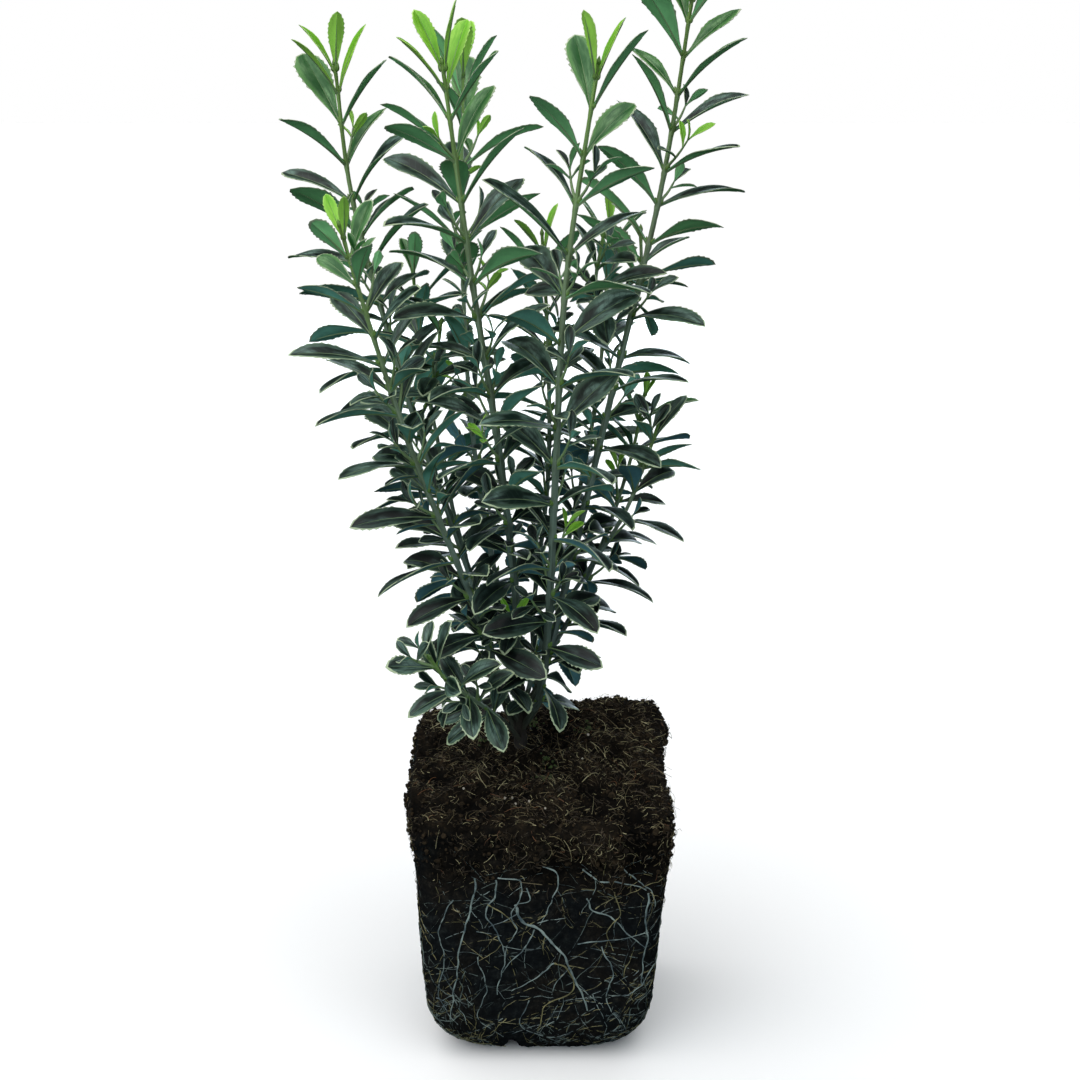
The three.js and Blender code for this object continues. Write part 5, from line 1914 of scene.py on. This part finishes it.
# %% [markdown]
# ## Roots by rule
# The photo can't show the other three walls, but a root-bound ball is alike all round: some strong
# roots that run down, many fine ones any way, and a dense mat along the foot and up the corners,
# where the roots met the pot's floor and turned.

# %% Roots on the other walls, and the mat
STRONG = {"count": 100, "shares": (0.13, 0.87), "heights": (24, 78), "lengths": (18, 62), "bend": 0.3,
          "radii": [(0, 0.12), (0.6, 0.24), (0.9, 0.4), (1, 0.6)], "tones": (0.5, 0.32, 0.18)}
FINE = {"count": 420, "heights": (8, 78), "lengths": (4, 20), "bend": 0.08,
        "radii": [(0, 0.07), (0.7, 0.12), (1, 0.2)], "tones": (0.22, 0.5, 0.28)}
MAT = {"count": 760, "lengths": (5, 22), "bend": 0.2,
       "radii": [(0, 0.08), (0.8, 0.14), (1, 0.24)], "tones": (0.34, 0.38, 0.28)}
DOWN, DOWN_VARIES = -1.6, 0.7
CORNERS, AT_CORNERS, CORNER_SPREAD = np.array([0.125, 0.375, 0.625, 0.875]), 0.5, 0.03
MAT_CORNER_HEIGHT, MAT_HEIGHT, MAT_CROWDING, MAT_SLOPE = 34, 26, 1.5, 0.8


def grow_root(kind, share, z, heading, radius, chance):
    """A root of a kind that wanders off from a place, and the way it took."""
    way = wander(share, z, heading, chance.uniform(*kind["lengths"]), kind["bend"], chance)
    lay_root(any_tone(chance, kind["tones"]), *way, radius)
    return way


for _ in range(STRONG["count"]):
    share = chance.uniform(*STRONG["shares"])
    radius = float(profile(STRONG["radii"], chance.uniform()))
    z, heading = chance.uniform(*STRONG["heights"]), chance.normal(DOWN, DOWN_VARIES)
    branch_off(*grow_root(STRONG, share, z, heading, radius, chance), radius, chance)
for _ in range(FINE["count"]):
    radius = float(profile(FINE["radii"], chance.uniform()))
    z, share = chance.uniform(*FINE["heights"]), chance.uniform()
    grow_root(FINE, share, z, chance.uniform(0, 2 * math.pi), radius, chance)
for _ in range(MAT["count"]):
    near_corner = chance.uniform() < AT_CORNERS
    share = chance.choice(CORNERS) + chance.normal(0, CORNER_SPREAD) if near_corner else chance.uniform()
    reach_up = MAT_CORNER_HEIGHT if near_corner else MAT_HEIGHT
    z = LOWEST_ROOT + reach_up * chance.uniform() ** MAT_CROWDING
    radius = float(profile(MAT["radii"], chance.uniform()))
    heading = chance.normal(0, MAT_SLOPE) + math.pi * chance.integers(0, 2)
    grow_root(MAT, share, z, heading, radius, chance)
for tone, pile in roots.items():
    pile.build(f"roots_{tone}", plain_finish(f"root_{tone}", *ROOT_TONES[tone], 0.6), "soil")

# %% [markdown]
# ## Moss and pale grains
# A few tufts of green moss and some pale grains lie on the soil beside the trunk. They are small, but
# the eye finds them at once, since nothing else down there is green or white. Both reuse the crumb's
# shape, the moss as heaps of tiny ones.

# %% Moss and grains
MOSS_SPOTS = [(3, -3), (1, -13), (-19, 8), (16, 20), (-2, 26)]
MOSS_LUMPS, MOSS_SPREAD, MOSS_RADII = 22, 1.5, (0.25, 0.6)
GRAINS, GRAIN_REACH, GRAIN_RADII = 12, 40, (0.3, 0.6)
SINK, LUMP_VARIES = 0.3, (0.75, 1.25)
MOSS_GREENS, GRAIN_GREYS = ((32, 46, 20), (64, 84, 36)), ((138, 130, 116), (206, 200, 186))
SMALL_LUMPS = {"roughness": 0.85, "grain_scale": 700.0}


def drop_lump(pile, x, y, radius, chance):
    """A small lump on the soil at x, y."""
    z = float(soil_level(x, y))
    z += soil_relief((x, y, z), 1.0) + float(lift_at(x, y))
    corners = LUMP_CORNERS * chance.uniform(*LUMP_VARIES, (len(LUMP_CORNERS), 1)) * radius
    pile.add(corners + (x, y, z + radius * (1 - SINK)), (), LUMP_FACES)


moss, grains = Pile(), Pile()
for x, y in MOSS_SPOTS:
    for _ in range(MOSS_LUMPS):
        aside = chance.normal(0, MOSS_SPREAD, 2)
        drop_lump(moss, x + aside[0], y + aside[1], chance.uniform(*MOSS_RADII), chance)
for _ in range(GRAINS):
    spot = chance.uniform(-GRAIN_REACH, GRAIN_REACH, 2)
    drop_lump(grains, *spot, chance.uniform(*GRAIN_RADII), chance)
moss.build("moss", plain_finish("moss", *MOSS_GREENS, **SMALL_LUMPS), "soil")
grains.build("pale_grains", plain_finish("pale_grains", *GRAIN_GREYS, **SMALL_LUMPS), "soil")

# %% [markdown]
# ## Floor and surroundings
# The plant was photographed against pure white. A white room would do that, but it would also shine
# on the plant from all sides and wash its dark greens out. So the floor and the world are white to
# the camera only: the plant's own surfaces neither receive their light nor mirror them.

# %% Floor and world
FLOOR_HALF, WHITE_FLOOR = 12.0, (0.99, 0.99, 0.99, 1)

floor_mesh = bpy.data.meshes.new("floor")
floor_mesh.from_pydata([(-FLOOR_HALF, -FLOOR_HALF, 0), (FLOOR_HALF, -FLOOR_HALF, 0),
                        (FLOOR_HALF, FLOOR_HALF, 0), (-FLOOR_HALF, FLOOR_HALF, 0)], [], [(0, 1, 2, 3)])
floor = bpy.data.objects.new("floor", floor_mesh)
bpy.context.scene.collection.objects.link(floor)
floor_mesh.materials.append(Finish("floor", Roughness=0.9, Base_Color=WHITE_FLOOR).material)
floor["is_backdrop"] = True
floor.visible_diffuse = False
floor.visible_glossy = False

world = bpy.data.worlds.new("white room")
world.use_nodes = True
world.node_tree.nodes["Background"].inputs["Color"].default_value = (1, 1, 1, 1)
world.cycles_visibility.diffuse = False
world.cycles_visibility.glossy = False
bpy.context.scene.world = world
bpy.context.scene.view_settings.view_transform = "Standard"
print("floor:", 2 * FLOOR_HALF, "m of white")

# %% [markdown]
# ## Light
# The photo's light is soft and comes from above, a little from the left and the front, and the shaded
# undersides are faintly blue. A lamp as wide as a sky gives the first: a sun with a very large angle,
# which lights near and far alike and blurs every shadow. Three weak bluish panels near the floor, on
# both sides and behind, fill in from below, so that backs and walls read from every side.

# %% Lights
SKY_ANGLE, SKY_STRENGTH = 100, 3.7
SKY_FROM = (-0.25, -0.35, 1.0)
FILL_SIZE, FILL_COLOUR = 1.2, (0.74, 0.9, 1.0)
FILLS = [("left_fill", (-1.3, -1.5, 0.12), 18.0), ("right_fill", (1.5, -1.2, 0.12), 13.0),
         ("back_fill", (0.3, 1.8, 0.15), 16.0)]
AIM = Vector((0, 0, 0.18))


def hang(name, kind, place, strength):
    """A lamp of a kind at a place, aimed at the middle of the plant."""
    lamp = bpy.data.lights.new(name, kind)
    lamp.energy = strength
    holder = bpy.data.objects.new(name, lamp)
    holder.location = place
    holder.rotation_euler = (AIM - Vector(place)).to_track_quat("-Z", "Y").to_euler()
    bpy.context.scene.collection.objects.link(holder)
    return lamp


sky = hang("sky", "SUN", AIM + Vector(SKY_FROM), SKY_STRENGTH)
sky.angle = math.radians(SKY_ANGLE)
for name, place, power in FILLS:
    fill = hang(name, "AREA", place, power)
    fill.size = FILL_SIZE
    fill.color = FILL_COLOUR
print("lights: sky and", len(FILLS), "fills")

# %% [markdown]
# ## Measuring against the packed box
# The dressed plant has to stay the size of its solids, or it wouldn't fit where the part is used. Both
# boxes are printed side by side.

# %% Sizes
import json

boxes = {"cad": packed_box, "visual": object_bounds()}
boxes = {name: [list(corner) for corner in box] for name, box in boxes.items()}
for name, box in boxes.items():
    print(name, "box:", [[round(value, 4) for value in corner] for corner in box])
